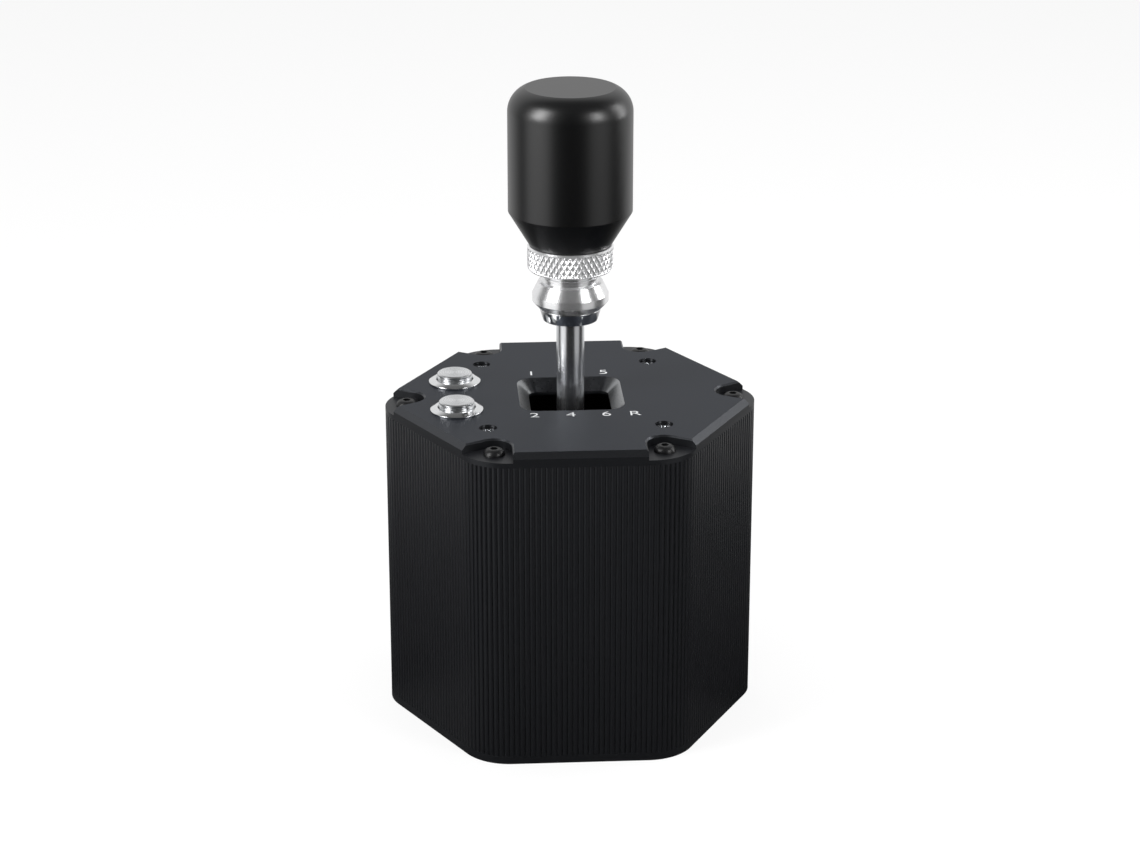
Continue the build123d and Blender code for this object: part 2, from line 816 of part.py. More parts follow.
def make_gate_plate():
    high_arm = pivot_height - gate_top
    low_arm = pivot_height - gate_foot_height
    lane = (high_arm + low_arm) / 2 * swing
    lean = (low_arm - high_arm) / 2 * swing
    pin = guide_pin_radius / cos(radians(lever_swing_degrees))
    side_half = pin + lean + gate_clearance
    middle_half = guide_pin_radius + gate_clearance
    lane_end = low_arm * swing + pin + gate_clearance
    plate = RectangleRounded(gate_width, gate_depth, gate_corner)
    slots = Rectangle(2 * (lane + side_half), 2 * middle_half)
    slots += RectangleRounded(2 * middle_half, 2 * lane_end, gate_slot_corner)
    for side in (-1, 1):
        slots += Pos(side * lane, 0) * RectangleRounded(2 * side_half, 2 * lane_end, gate_slot_corner)
    for x, y in four_places(hanger_x, hanger_y):
        plate -= Pos(x, y) * Circle(hanger_clear_radius)
    return prism(plate - slots, gate_foot_height, gate_top)


def make_gate_screws():
    screw = rod(end_screw_head_radius, -end_screw_head_height, -seat_gap)
    screw += rod(small_shank_radius, -seat_gap, hanger_screw_length)
    return Compound([Pos(x, y, gate_foot_height) * screw for x, y in four_places(hanger_x, hanger_y)])


def make_main_board():
    half = board_width / 2
    board = block((-half, half), (board_front, board_rear), (board_foot_height, board_top))
    tongue = tongue_width / 2
    board += block((-tongue, tongue), (board_rear, tongue_rear), (board_foot_height, board_top))
    for x in (-board_screw_x, board_screw_x):
        for y in (board_screw_front, board_screw_rear):
            board -= rod(hanger_clear_radius, board_foot_height - overrun, board_top + overrun, x, y)
    return board


def board_places():
    return [(x, y) for x in (-board_screw_x, board_screw_x) for y in (board_screw_front, board_screw_rear)]


def make_board_posts():
    low = base_thickness + seat_gap
    high = board_foot_height - seat_gap
    post = rod(board_post_radius, low, high) + rod(small_shank_radius, 0, low)
    post -= rod(small_hole_radius - thread_gap - thread_gap, low, high + overrun)
    return Compound([Pos(x, y, 0) * post for x, y in board_places()])


def make_board_screws():
    screw = rod(board_screw_head_radius, board_top + seat_gap, board_top + board_screw_head_height)
    shank = small_hole_radius - 4 * thread_gap
    screw += rod(shank, base_thickness + 2 * seat_gap, board_top + seat_gap)
    return Compound([Pos(x, y, 0) * screw for x, y in board_places()])


def make_hall_sensors():
    """One sensor chip under the magnet at each of the six gear places."""
    reach = (pivot_height - magnet_foot) * swing
    low = board_top + seat_gap
    chips = []
    for x in (-reach, 0, reach):
        for y in (-reach, reach):
            chips.append(
                block((x - chip_width / 2, x + chip_width / 2), (y - chip_depth / 2, y + chip_depth / 2),
                      (low, low + chip_height))
            )
    return Compound(chips)


def make_lead_connector():
    edge = board_width / 2
    half = connector_depth / 2
    top = board_top + connector_height
    return block((-edge, -edge + connector_width), (-half, half), (board_top + seat_gap, top))


def make_data_socket():
    """A small oval data socket whose mouth is flush with the rear wall."""
    outer = RectangleRounded(socket_width, socket_height, socket_corner)
    shell = extrude(Plane.XZ * outer, amount=socket_depth)
    inner = RectangleRounded(
        socket_width - 2 * socket_wall, socket_height - 2 * socket_wall, socket_corner - socket_wall
    )
    shell -= extrude(Plane.XZ * inner, amount=socket_depth - socket_wall)
    tongue = extrude(
        Plane.XZ * Rectangle(socket_tongue_width, socket_tongue_height), amount=socket_tongue_depth
    )
    tongue = Pos(0, socket_tongue_depth - socket_depth, 0) * tongue
    return Pos(0, apothem, socket_cut_height() + seat_gap) * (shell + tongue)


def make_button_body(y):
    """The fixed part of a push button: bezel, well and barrel."""
    body = turned(
        [(0, -button_well_depth), (button_well_radius, -button_well_depth),
         (button_well_radius, button_bezel_height - button_flange_edge),
         (button_well_rim_radius, button_bezel_height), (button_bevel_radius, button_bezel_height),
         (button_flange_radius, button_flange_edge), (button_flange_radius, seat_gap),
         (button_barrel_radius, seat_gap), (button_barrel_radius, -button_barrel_length),
         (0, -button_barrel_length)]
    )
    return Pos(button_x, y, lid_top) * body


def make_button_cap(y):
    edge = button_cap_radius - button_cap_bevel
    groove = button_cap_radius - button_groove_depth
    cap = turned(
        [(0, -button_cap_sink), (button_cap_radius, -button_cap_sink), (button_cap_radius, button_groove_low),
         (groove, button_groove_low), (groove, button_groove_high), (button_cap_radius, button_groove_high),
         (button_cap_radius, button_cap_rise - button_cap_bevel), (edge, button_cap_rise),
         (0, button_cap_rise)]
    )
    return Pos(button_x, y, lid_top) * cap


def make_button_spring(y):
    length = button_well_depth - button_cap_sink - 2 * spring_end_gap
    foot = lid_top - button_well_depth + spring_end_gap
    return Pos(button_x, y, foot) * spring(button_spring_radius, button_wire_radius, length, button_turns)


def make_button_nuts():
    high = tube_top - seat_gap
    nut = RegularPolygon(button_nut_width / 2, CORNERS, major_radius=False)
    nut -= Circle(button_barrel_radius + thread_gap)
    solid = prism(nut, high - button_nut_thickness, high)
    return Compound([Pos(button_x, y, 0) * solid for y in (-button_y, button_y)])


def boot_foot():
    """The height of the underside of the rubber boots on the buttons."""
    return lid_top - button_barrel_length - seat_gap - boot_length


def make_button_boots():
    boot = rod(boot_radius, boot_foot(), boot_foot() + boot_length)
    return Compound([Pos(button_x, y, 0) * boot for y in (-button_y, button_y)])


def make_button_lead(side):
    """A two-core lead from one button down to the board, inside the housing."""
    lead_height = board_top + connector_height / 2
    route = [
        (button_x, button_y, boot_foot() - seat_gap),
        (button_x, button_y, lead_height_from_boot),
        *lead_points,
        (*lead_last_bend, lead_height),
        (-board_width / 2 - seat_gap, lead_last_bend[1], lead_height),
    ]
    points = [(x, side * y, z) for x, y, z in route]
    radii = []
    for before, here, after in zip(points, points[1:], points[2:]):
        first = Vector(*here) - Vector(*before)
        second = Vector(*after) - Vector(*here)
        turn = radians(first.get_angle(second))
        radii.append(lead_arc_share * min(first.length, second.length) / tan(turn / 2))
    path = FilletPolyline(*points, radius=radii)
    lead = sweep(Plane(origin=path @ 0, z_dir=path % 0) * Circle(lead_radius), path=path)
    share = lead.volume / (pi * lead_radius**2 * path.length)
    print("lead length", round(path.length, 1), "radii", [round(radius, 1) for radius in radii])
    print("lead volume against section times length", round(share, 4))
    return lead


nodes = {
    "base_plate": make_base_plate(),
    "housing_tube": make_housing_tube(),
    "lid": make_lid(),
    "corner_screws": make_corner_screws(),
    "base_screws": make_base_screws(),
    "mounting_nuts": make_mounting_nuts(),
    "mechanism_screws": make_mechanism_screws(),
    "upper_pillars": make_upper_pillars(),
    "lower_pillars": make_lower_pillars(),
    "gimbal_frame": make_gimbal_frame(),
    "trunnion_bushes": make_trunnion_bushes(),
    "gate_plate": make_gate_plate(),
    "gate_screws": make_gate_screws(),
    "detent_bracket": make_detent_bracket(),
    "bracket_screws": make_bracket_screws(),
    "detent_plunger": make_plunger_body(),
    "detent_spring": make_detent_spring(),
    "detent_ball": Pos(sector_x, 0, ball_height) * Sphere(ball_radius),
    "yoke": make_yoke(),
    "left_trunnion": make_trunnion(-1, left_trunnion_reach),
    "right_trunnion": make_trunnion(1, sector_x + sector_thickness / 2),
    "left_trunnion_washer": make_washer(-1, left_trunnion_reach),
    "left_trunnion_screw": make_end_screw(-1, left_trunnion_reach + washer_thickness),
    "right_trunnion_washer": make_washer(1, sector_x + sector_thickness / 2),
    "right_trunnion_screw": make_end_screw(1, sector_x + sector_thickness / 2 + washer_thickness),
    "detent_sector": make_detent_sector(),
    "select_bushes": make_select_bushes(),
    "left_centring_spring": make_centring_spring(-1),
    "right_centring_spring": make_centring_spring(1),
    "lever_block": make_lever_block(),
    "select_pins": make_select_pins(),
    "shaft_bushes": make_shaft_bushes(),
    "press_spring": make_press_spring(),
    "lever_shaft": make_lever_shaft(),
    "spring_collar": make_spring_collar(),
    "stop_ring": make_stop_ring(),
    "guide_pin": make_guide_pin(),
    "position_magnet": make_position_magnet(),
    "collet_cone": make_collet_cone(),
    "knob_adapter": make_knob_adapter(),
    "lock_ring": make_lock_ring(),
    "knob": make_knob(),
    "main_board": make_main_board(),
    "board_posts": make_board_posts(),
    "board_screws": make_board_screws(),
    "hall_sensors": make_hall_sensors(),
    "lead_connector": make_lead_connector(),
    "data_socket": make_data_socket(),
    "button_nuts": make_button_nuts(),
    "button_boots": make_button_boots(),
}
for name, side in (("front", -1), ("rear", 1)):
    nodes[f"{name}_button_body"] = make_button_body(side * button_y)
    nodes[f"{name}_button_cap"] = make_button_cap(side * button_y)
    nodes[f"{name}_button_spring"] = make_button_spring(side * button_y)
    nodes[f"{name}_button_lead"] = make_button_lead(side)

os.makedirs("parts", exist_ok=True)
for name, shape in nodes.items():
    export_step(shape, f"parts/{name}.step")
print(len(nodes), "nodes")
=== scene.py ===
# %% [markdown]
# # A gated gear lever in a ribbed hexagonal housing
#
# The solid model gives every piece its size and place. This lesson dresses it: it adds the ribs of
# the extruded tube, the knurled ring, the spun metal and the printed gear numbers, and it gives each
# piece a finish made of shader nodes. Nothing in the model is moved.

# %% Load the frame
import json
from math import atan2, cos, pi, radians, sin, sqrt, tan

import bmesh
import bpy
from mathutils import Matrix, Vector

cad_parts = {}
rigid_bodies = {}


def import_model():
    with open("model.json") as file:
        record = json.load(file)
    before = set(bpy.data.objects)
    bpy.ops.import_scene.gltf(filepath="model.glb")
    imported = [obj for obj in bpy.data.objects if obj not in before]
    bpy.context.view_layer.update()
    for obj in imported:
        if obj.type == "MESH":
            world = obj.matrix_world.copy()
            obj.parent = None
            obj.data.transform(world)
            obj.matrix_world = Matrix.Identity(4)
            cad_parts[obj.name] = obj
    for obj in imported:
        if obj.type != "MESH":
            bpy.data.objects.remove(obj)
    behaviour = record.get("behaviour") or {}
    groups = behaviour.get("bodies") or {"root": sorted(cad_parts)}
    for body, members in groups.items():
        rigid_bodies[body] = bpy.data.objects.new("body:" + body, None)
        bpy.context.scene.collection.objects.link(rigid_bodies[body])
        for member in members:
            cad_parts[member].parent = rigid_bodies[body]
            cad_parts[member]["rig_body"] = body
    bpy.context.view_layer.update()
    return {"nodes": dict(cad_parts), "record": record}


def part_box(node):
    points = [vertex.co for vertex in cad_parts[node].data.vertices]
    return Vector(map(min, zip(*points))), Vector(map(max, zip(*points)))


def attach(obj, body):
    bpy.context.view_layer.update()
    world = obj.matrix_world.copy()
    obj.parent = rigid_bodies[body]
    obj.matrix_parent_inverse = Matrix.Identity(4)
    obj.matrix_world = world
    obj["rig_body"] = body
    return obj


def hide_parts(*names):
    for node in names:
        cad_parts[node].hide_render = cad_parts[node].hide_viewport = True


MM = 0.001
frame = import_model()
nodes = frame["nodes"]
print(len(nodes), "solid pieces loaded")

# %% [markdown]
# ## The camera
#
# A camera can be placed by eye, but then every edge leans a little wrong. The housing is a regular
# hexagon, so its edges give the camera's true place in the photograph: a long lens, almost a metre
# away, looks down at about twenty degrees. The picture's centre was moved a little when it was cut,
# and the camera's shift repeats that.

# %% Camera
CAMERA_PLACE = Vector((-60.9, -978.3, 470.2)) * MM
CAMERA_AIM = Vector((0.05834, 0.93903, -0.33885))
FOCAL_LENGTH_PX = 2896.4
IMAGE_WIDTH_PX = 1140
SENSOR_WIDTH = 36.0
SHIFT_Y = -0.0299

camera_data = bpy.data.cameras.new("camera")
camera_data.sensor_width = SENSOR_WIDTH
camera_data.lens = FOCAL_LENGTH_PX / IMAGE_WIDTH_PX * SENSOR_WIDTH
camera_data.shift_y = SHIFT_Y
camera = bpy.data.objects.new("camera", camera_data)
camera.rotation_euler = CAMERA_AIM.to_track_quat("-Z", "Y").to_euler()
camera.location = CAMERA_PLACE
bpy.context.scene.collection.objects.link(camera)
bpy.context.scene.camera = camera
print("lens", round(camera_data.lens, 1), "mm")

# %% [markdown]
# ## Node sums as Python
#
# A shader is a graph of nodes. It can be built link by link, but sums in it are easier to read as
# sums. This class wraps one socket of a graph. Adding or multiplying two of them adds the Math node
# that does it. Every other node comes from one function, which sets the node up first, and then
# gives its sockets a plain value or a link.

# %% Node sums


class Value:
    """A socket of a graph that can be used in Python sums."""

    def __init__(self, tree, socket):
        self.tree = tree
        self.socket = socket

    def beside(self, output):
        """Another output of the same node."""
        return Value(self.tree, self.socket.node.outputs[output])

    def math(self, operation, *others):
        """An operation on this socket and others."""
        return node(self.tree, "ShaderNodeMath", {"operation": operation}, dict(enumerate((self, *others))))

    def __add__(self, other):
        return self.math("ADD", other)

    def __sub__(self, other):
        return self.math("SUBTRACT", other)

    def __rsub__(self, other):
        return node(self.tree, "ShaderNodeMath", {"operation": "SUBTRACT"}, {0: other, 1: self})

    def __mul__(self, other):
        return self.math("MULTIPLY", other)

    __radd__ = __add__
    __rmul__ = __mul__


def node(tree, kind, settings=None, inputs=None, output=0):
    """Add a node, set it up, fill its sockets, and give back one output, or the node if it has none."""
    made = tree.nodes.new(kind)
    for name, setting in (settings or {}).items():
        setattr(made, name, setting)
    for name, value in (inputs or {}).items():
        if isinstance(value, Value):
            tree.links.new(value.socket, made.inputs[name])
        else:
            made.inputs[name].default_value = value
    return Value(tree, made.outputs[output]) if len(made.outputs) else made


print("nodes come from sums")

# %% [markdown]
# ## Small helpers for finishes
#
# Most finishes here are alike: noise shifts the colour between two tones, moves the roughness round
# a middle value, and tilts the surface a little. Each of these steps has a helper, so a finish can
# be read as a short list of what varies.

# %% Helpers for finishes


def rgba(colour):
    return (*colour, 1.0)


def new_material(name):
    """A material with an empty Principled shader: the material, its graph and its shader."""
    material = bpy.data.materials.new(name)
    material.use_nodes = True
    tree = material.node_tree
    return material, tree, tree.nodes["Principled BSDF"]


def object_point(tree, scale=(1, 1, 1)):
    """The place on the piece, in metres, stretched by a scale on each axis."""
    place = node(tree, "ShaderNodeTexCoord", output="Object")
    return node(tree, "ShaderNodeMapping", {}, {"Vector": place, "Scale": scale})


def noise(tree, point, per_metre, detail=3.0):
    return node(tree, "ShaderNodeTexNoise", {}, {"Vector": point, "Scale": per_metre, "Detail": detail})


def mixed(tree, factor, low, high):
    """A colour between two, by a factor."""
    colours = {"Factor": factor, "A": rgba(low), "B": rgba(high)}
    return node(tree, "ShaderNodeMix", {"data_type": "RGBA"}, colours, output="Result")


def wander(middle, width, tone):
    """A number that moves round a middle value as a tone goes from 0 to 1."""
    return middle - width / 2 + tone * width


def bump(tree, height, strength, distance):
    """A tilt of the surface from a height, over a distance in millimetres."""
    return node(
        tree, "ShaderNodeBump", {}, {"Height": height, "Strength": strength, "Distance": distance * MM}
    )


def join(tree, shader, **values):
    """Link expressions to the shader's sockets, by names with underscores for spaces."""
    for name, value in values.items():
        tree.links.new(value.socket, shader.inputs[name.replace("_", " ")])


def fixed(shader, **values):
    """Set plain numbers on the shader's own sockets."""
    for name, value in values.items():
        shader.inputs[name.replace("_", " ")].default_value = value


print("helpers ready")

# %% [markdown]
# ## Blasted, anodised aluminium
#
# Glass beads leave thousands of shallow dents, each a few hundredths of a millimetre wide. They could
# be modelled, but from a step away they only widen the highlight. So the dents are a bump from fine
# noise, and a second, slower noise makes the dye a little uneven.

# %% Blasted and anodised metal
GRAIN_PER_METRE = 1800.0
GRAIN_SHARE = 0.7
GRAIN_BUMP = 0.35
CLOUDS_PER_METRE = 35.0
ANODISED_ROUGHNESS_WIDTH = 0.12


def anodised(name, dark, light, roughness, grain_height, metallic=0.6):
    material, tree, shader = new_material(name)
    point = object_point(tree)
    grain = noise(tree, point, GRAIN_PER_METRE, detail=2.0)
    clouds = noise(tree, point, CLOUDS_PER_METRE, detail=4.0)
    tone = grain * GRAIN_SHARE + clouds * (1 - GRAIN_SHARE)
    join(
        tree, shader,
        Base_Color=mixed(tree, tone, dark, light),
        Roughness=wander(roughness, ANODISED_ROUGHNESS_WIDTH, tone),
        Normal=bump(tree, grain, GRAIN_BUMP, grain_height),
    )
    fixed(shader, Metallic=metallic)
    return material


lid_finish = anodised(
    "lid anodised", (0.019, 0.022, 0.029), (0.041, 0.047, 0.060), roughness=0.52, grain_height=0.03,
    metallic=0.85,
)
bevel_finish = anodised(
    "milled bevels", (0.07, 0.073, 0.080), (0.10, 0.105, 0.115), roughness=0.34, grain_height=0.01,
    metallic=1.0,
)
tube_finish = anodised(
    "tube anodised", (0.0125, 0.0133, 0.0155), (0.0185, 0.0197, 0.0230), roughness=0.40, grain_height=0.01
)
print("anodised finishes made")

# %% [markdown]
# ## Milled slopes with a painted reflection
#
# In the photograph the slopes at the two sides of the opening are light, and the one behind is almost
# black. Here that is a painted reflection: the colour itself is light on faces that lean sideways and
# dark on the face behind. Two materials could do this, but then the round corners would show a seam.
# The way a face leans tells the sides apart, and a soft ramp on that lean carries one painted tone
# into the other.

# %% Milled slopes with a painted reflection
REFLECTION_DARK_LEAN = 0.15
REFLECTION_BRIGHT_LEAN = 0.60
SLOPE_ROUGHNESS = 0.28
SLOPE_ROUGHNESS_WIDTH = 0.04


def smooth_step(tree, value, start, end, low=0.0, high=1.0):
    """A soft ramp from low to high while a value goes from start to end."""
    return node(
        tree, "ShaderNodeMapRange", {"interpolation_type": "SMOOTHSTEP"},
        {"Value": value, "From Min": start, "From Max": end, "To Min": low, "To Max": high},
    )


def slopes_with_painted_reflection(name, dark, light):
    material, tree, shader = new_material(name)
    grain = noise(tree, object_point(tree), GRAIN_PER_METRE, detail=2.0)
    normal = node(tree, "ShaderNodeTexCoord", output="Normal")
    lean = node(tree, "ShaderNodeSeparateXYZ", {}, {0: normal}, output="X").math("ABSOLUTE")
    # The tone is a painted reflection: light where a face leans sideways, dark where it faces back.
    painted_reflection_share = smooth_step(tree, lean, REFLECTION_DARK_LEAN, REFLECTION_BRIGHT_LEAN)
    join(
        tree, shader,
        Base_Color=mixed(tree, painted_reflection_share, dark, light),
        Roughness=wander(SLOPE_ROUGHNESS, SLOPE_ROUGHNESS_WIDTH, grain),
    )
    fixed(shader, Metallic=1.0)
    return material


# The two colours are the dark and the light end of the painted reflection.
painted_reflection_slope_finish = slopes_with_painted_reflection("opening slopes with painted reflection", (0.050, 0.052, 0.056), (0.34, 0.35, 0.36))
print(painted_reflection_slope_finish.name, "made")

# %% [markdown]
# ## Satin black
#
# The knob has a finer, closer finish than the lid, with no metal showing through. A plain black would
# do from afar, but its highlights are broad, soft and still bright. So it gets a middling roughness,
# more gloss, and very low bumps from a fine noise.

# %% Satin black
KNOB_GRAIN_PER_METRE = 3400.0
CLOUD_LIFT = 1.5
SATIN_ROUGHNESS_WIDTH = 0.06
SATIN_BUMP = 0.2
SATIN_BUMP_HEIGHT = 0.006


def satin_black(name, colour, roughness, gloss=0.5):
    material, tree, shader = new_material(name)
    point = object_point(tree)
    grain = noise(tree, point, KNOB_GRAIN_PER_METRE, detail=2.0)
    clouds = noise(tree, point, CLOUDS_PER_METRE)
    lighter = tuple(part * CLOUD_LIFT for part in colour)
    join(
        tree, shader,
        Base_Color=mixed(tree, clouds, colour, lighter),
        Roughness=wander(roughness, SATIN_ROUGHNESS_WIDTH, grain),
        Normal=bump(tree, grain, SATIN_BUMP, SATIN_BUMP_HEIGHT),
    )
    fixed(shader, Specular_IOR_Level=gloss)
    return material


knob_finish = satin_black("knob satin black", (0.0008, 0.0009, 0.0011), roughness=0.34, gloss=0.75)
screw_finish = satin_black("screw black oxide", (0.0035, 0.0035, 0.0040), roughness=0.40, gloss=0.4)
plastic_finish = satin_black("moulded black plastic", (0.015, 0.015, 0.016), roughness=0.45)
rubber_finish = satin_black("soft rubber", (0.012, 0.012, 0.012), roughness=0.75)
print("black finishes made")

# %% [markdown]
# ## Turned and polished steel
#
# A lathe leaves fine lines round a bar. They could be cut as real grooves, but they are far thinner
# than a pixel. Noise that is stretched round the bar and squeezed along its axis gives the lines.
# They change the roughness and tilt the surface by a hair.

# %% Turned steel
LINES_ROUND_THE_AXIS = (60, 60, 9000)
LINES_ALONG_X = (90, 2600, 2600)
LINE_SHARE = 0.6
LINE_ROUGHNESS_SHARE = 0.6
LINE_BUMP = 0.15


def turned_metal(name, dark, light, roughness, line_height, lines=LINES_ROUND_THE_AXIS, metallic=1.0):
    material, tree, shader = new_material(name)
    lined = noise(tree, object_point(tree, lines), 1.0, detail=2.0)
    clouds = noise(tree, object_point(tree), CLOUDS_PER_METRE)
    tone = lined * LINE_SHARE + clouds * (1 - LINE_SHARE)
    join(
        tree, shader,
        Base_Color=mixed(tree, tone, dark, light),
        Roughness=wander(roughness, roughness * LINE_ROUGHNESS_SHARE, tone),
        Normal=bump(tree, lined, LINE_BUMP, line_height),
    )
    fixed(shader, Metallic=metallic)
    return material


# name, dark tone, light tone, roughness, height of the lines in millimetres
polished_finish = turned_metal("polished steel", (0.82, 0.83, 0.84), (0.93, 0.94, 0.95), 0.14, 0.002)
knurled_finish = turned_metal(
    "knurled bright steel", (0.90, 0.90, 0.91), (0.97, 0.97, 0.98), 0.30, 0.001, metallic=0.8
)
adapter_finish = turned_metal(
    "bright turned steel", (0.88, 0.88, 0.89), (0.95, 0.95, 0.96), 0.22, 0.002, metallic=0.9
)
shaft_finish = turned_metal("ground shaft steel", (0.66, 0.67, 0.69), (0.80, 0.81, 0.83), 0.24, 0.003)
steel_finish = turned_metal("plain turned steel", (0.50, 0.51, 0.53), (0.68, 0.69, 0.71), 0.30, 0.004)
bronze_finish = turned_metal("oiled bronze", (0.36, 0.20, 0.07), (0.52, 0.32, 0.13), 0.32, 0.004)
nickel_finish = turned_metal("nickel plate", (0.58, 0.55, 0.48), (0.70, 0.67, 0.60), 0.16, 0.001)
wire_finish = turned_metal("spring wire", (0.34, 0.34, 0.35), (0.50, 0.50, 0.51), 0.34, 0.003)
milled_finish = turned_metal(
    "milled aluminium", (0.56, 0.57, 0.59), (0.72, 0.73, 0.75), 0.34, 0.006, lines=LINES_ALONG_X
)
print("metal finishes made")

# %% [markdown]
# ## Spun button caps
#
# The caps are faced on a lathe, so their rings run round each cap's own axis, and not round the axis
# of the whole object. The distance from the cap's axis drives a noise, which makes the rings. Spun
# rings throw light in two wedges, like a bow tie. A shader with stretched highlights could do that
# too, but the exported model would lose it. Here the wedges are a painted highlight: twice the angle
# round the axis, put through a cosine, paints a faint light wedge into the colour at each side.

# %% Spun metal
RINGS_PER_METRE = 5200.0
RING_SHARE = 0.5
SPUN_ROUGHNESS = 0.28
SPUN_ROUGHNESS_WIDTH = 0.16
SPUN_BUMP = 0.6
SPUN_BUMP_HEIGHT = 0.012
SPUN_DARK = (0.54, 0.55, 0.56)
SPUN_LIGHT = (0.86, 0.87, 0.88)


def spun_metal(name, centre):
    material, tree, shader = new_material(name)
    place = node(tree, "ShaderNodeTexCoord", output="Object")
    flat = node(
        tree, "ShaderNodeVectorMath", {"operation": "MULTIPLY_ADD"},
        {0: place, 1: (1, 1, 0), 2: (-centre.x, -centre.y, 0)},
    )
    reach = node(tree, "ShaderNodeVectorMath", {"operation": "LENGTH"}, {0: flat}, output="Value")
    line = node(tree, "ShaderNodeCombineXYZ", {}, {"X": reach * RINGS_PER_METRE})
    rings = noise(tree, line, 1.0, detail=2.0)
    # Painted highlight: a light wedge at each side of the cap, fixed in its colour.
    across = node(tree, "ShaderNodeSeparateXYZ", {}, {0: flat}, output="X")
    angle = across.beside("Y").math("ARCTAN2", across)
    painted_highlight = (angle * 2).math("COSINE") * 0.5 + 0.5
    tone = rings * RING_SHARE + painted_highlight * (1 - RING_SHARE)
    join(
        tree, shader,
        Base_Color=mixed(tree, tone, SPUN_DARK, SPUN_LIGHT),
        Roughness=wander(SPUN_ROUGHNESS, SPUN_ROUGHNESS_WIDTH, rings),
        Normal=bump(tree, rings, SPUN_BUMP, SPUN_BUMP_HEIGHT),
    )
    fixed(shader, Metallic=1.0)
    return material


print("rings", round(1 / (RINGS_PER_METRE * MM), 2), "mm apart")

# %% [markdown]
# ## White print, circuit board and lead sheath
#
# The gear numbers are laser-marked: a chalky white with a fine speckle. The board's green resist
# covers copper tracks, which show as slightly lighter lines. A brick pattern is enough for them,
# because the board is hidden inside.

# %% Print, board and sheath
SPECKLE_ROUGHNESS_WIDTH = 0.1
SPECKLE_BUMP = 0.3
SPECKLE_HEIGHT = 0.004
TRACKS_PER_METRE = 90.0
TRACK_WIDTH = 0.05
RESIST_ROUGHNESS = 0.28
BLACK, WHITE = (0, 0, 0), (1, 1, 1)


def speckled(name, dark, light, roughness, per_metre):
    material, tree, shader = new_material(name)
    speck = noise(tree, object_point(tree), per_metre)
    join(
        tree, shader,
        Base_Color=mixed(tree, speck, dark, light),
        Roughness=wander(roughness, SPECKLE_ROUGHNESS_WIDTH, speck),
        Normal=bump(tree, speck, SPECKLE_BUMP, SPECKLE_HEIGHT),
    )
    return material


def board_material():
    material, tree, shader = new_material("green circuit board")
    tracks = node(
        tree, "ShaderNodeTexBrick", {"offset": 0.5},
        {"Vector": object_point(tree), "Scale": TRACKS_PER_METRE, "Mortar Size": TRACK_WIDTH,
         "Color1": rgba(BLACK), "Color2": rgba(BLACK), "Mortar": rgba(WHITE)},
    )
    join(tree, shader, Base_Color=mixed(tree, tracks, (0.004, 0.045, 0.018), (0.012, 0.10, 0.04)))
    fixed(shader, Roughness=RESIST_ROUGHNESS)
    return material


# name, dark tone, light tone, roughness, specks in a metre
print_finish = speckled("white laser mark", (0.56, 0.57, 0.58), (0.72, 0.73, 0.74), 0.6, 3000.0)
sheath_finish = speckled("lead sheath", (0.035, 0.035, 0.038), (0.05, 0.05, 0.054), 0.55, 900.0)
board_finish = board_material()
print("print, sheath and board made")

# %% [markdown]
# ## Finishes on the solid pieces
#
# Most inner pieces keep their solid as it is and only take a finish. The record says which material
# slot each piece has, and one table turns a slot into a finish. That is shorter than a line for each
# piece, and no piece can be forgotten.

# %% Dress the solid pieces
slot_finish = {
    "black_anodised": tube_finish,
    "lid_anodised": lid_finish,
    "bright_steel": steel_finish,
    "polished_steel": polished_finish,
    "black_steel": screw_finish,
    "knob_black": knob_finish,
    "mill_aluminium": milled_finish,
    "bronze": bronze_finish,
    "spring_steel": wire_finish,
    "board_green": board_finish,
    "black_plastic": plastic_finish,
    "rubber_black": rubber_finish,
    "magnet_nickel": nickel_finish,
    "lead_grey": sheath_finish,
}
node_slot = {part["node"]: part["material_slot"] for part in frame["record"]["subparts"]}
for name, solid in nodes.items():
    solid.data.materials.clear()
    solid.data.materials.append(slot_finish[node_slot[name]])
print(len(node_slot), "solid pieces dressed")

# %% [markdown]
# ## Smooth copies of the outer solids
#
# A solid comes as loose triangles, so a round corner shows its flats. The solid itself stays as it
# is. A copy with its doubles merged can be shaded smoothly: only edges sharper than a chosen angle
# stay crisp.

# %% Refine the visible solids
CRISP_DEGREES = 28.0
MERGE = 0.002 * MM
REFINED_SOLIDS = (
    "lid", "base_plate", "corner_screws", "mechanism_screws", "base_screws", "mounting_nuts",
    "data_socket", "housing_tube", "gimbal_frame", "gate_plate", "yoke", "lever_block",
)
body_of_node = {name: solid["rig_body"] for name, solid in nodes.items()}


def new_piece(name, mesh):
    """An object at the origin that carries a mesh."""
    piece = bpy.data.objects.new(name, mesh)
    bpy.context.scene.collection.objects.link(piece)
    return piece


def finish_mesh(piece, crisp=CRISP_DEGREES):
    """Smooth shading with crisp edges past an angle."""
    mesh = piece.data
    mesh.polygons.foreach_set("use_smooth", [True] * len(mesh.polygons))
    mesh.set_sharp_from_angle(angle=radians(crisp))
    mesh.update()
    return piece


def placed(piece, name, finish=None):
    """Let a piece stand in for a solid: take its body, hide the solid, and put on a finish if one is given.
    """
    if finish is not None:
        piece.data.materials.clear()
        piece.data.materials.append(finish)
    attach(piece, body_of_node[name])
    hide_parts(name)
    return piece


def refined(name):
    """A smooth copy of a solid, which stands in for it."""
    mesh = nodes[name].data.copy()
    shape = bmesh.new()
    shape.from_mesh(mesh)
    bmesh.ops.remove_doubles(shape, verts=shape.verts, dist=MERGE)
    shape.to_mesh(mesh)
    shape.free()
    for attribute in ("custom_normal", "sharp_face"):
        if attribute in mesh.attributes:
            mesh.attributes.remove(mesh.attributes[attribute])
    return placed(finish_mesh(new_piece(f"{name}_dressed", mesh)), name)


for name in REFINED_SOLIDS:
    refined(name)
print(len(REFINED_SOLIDS), "outer solids refined")
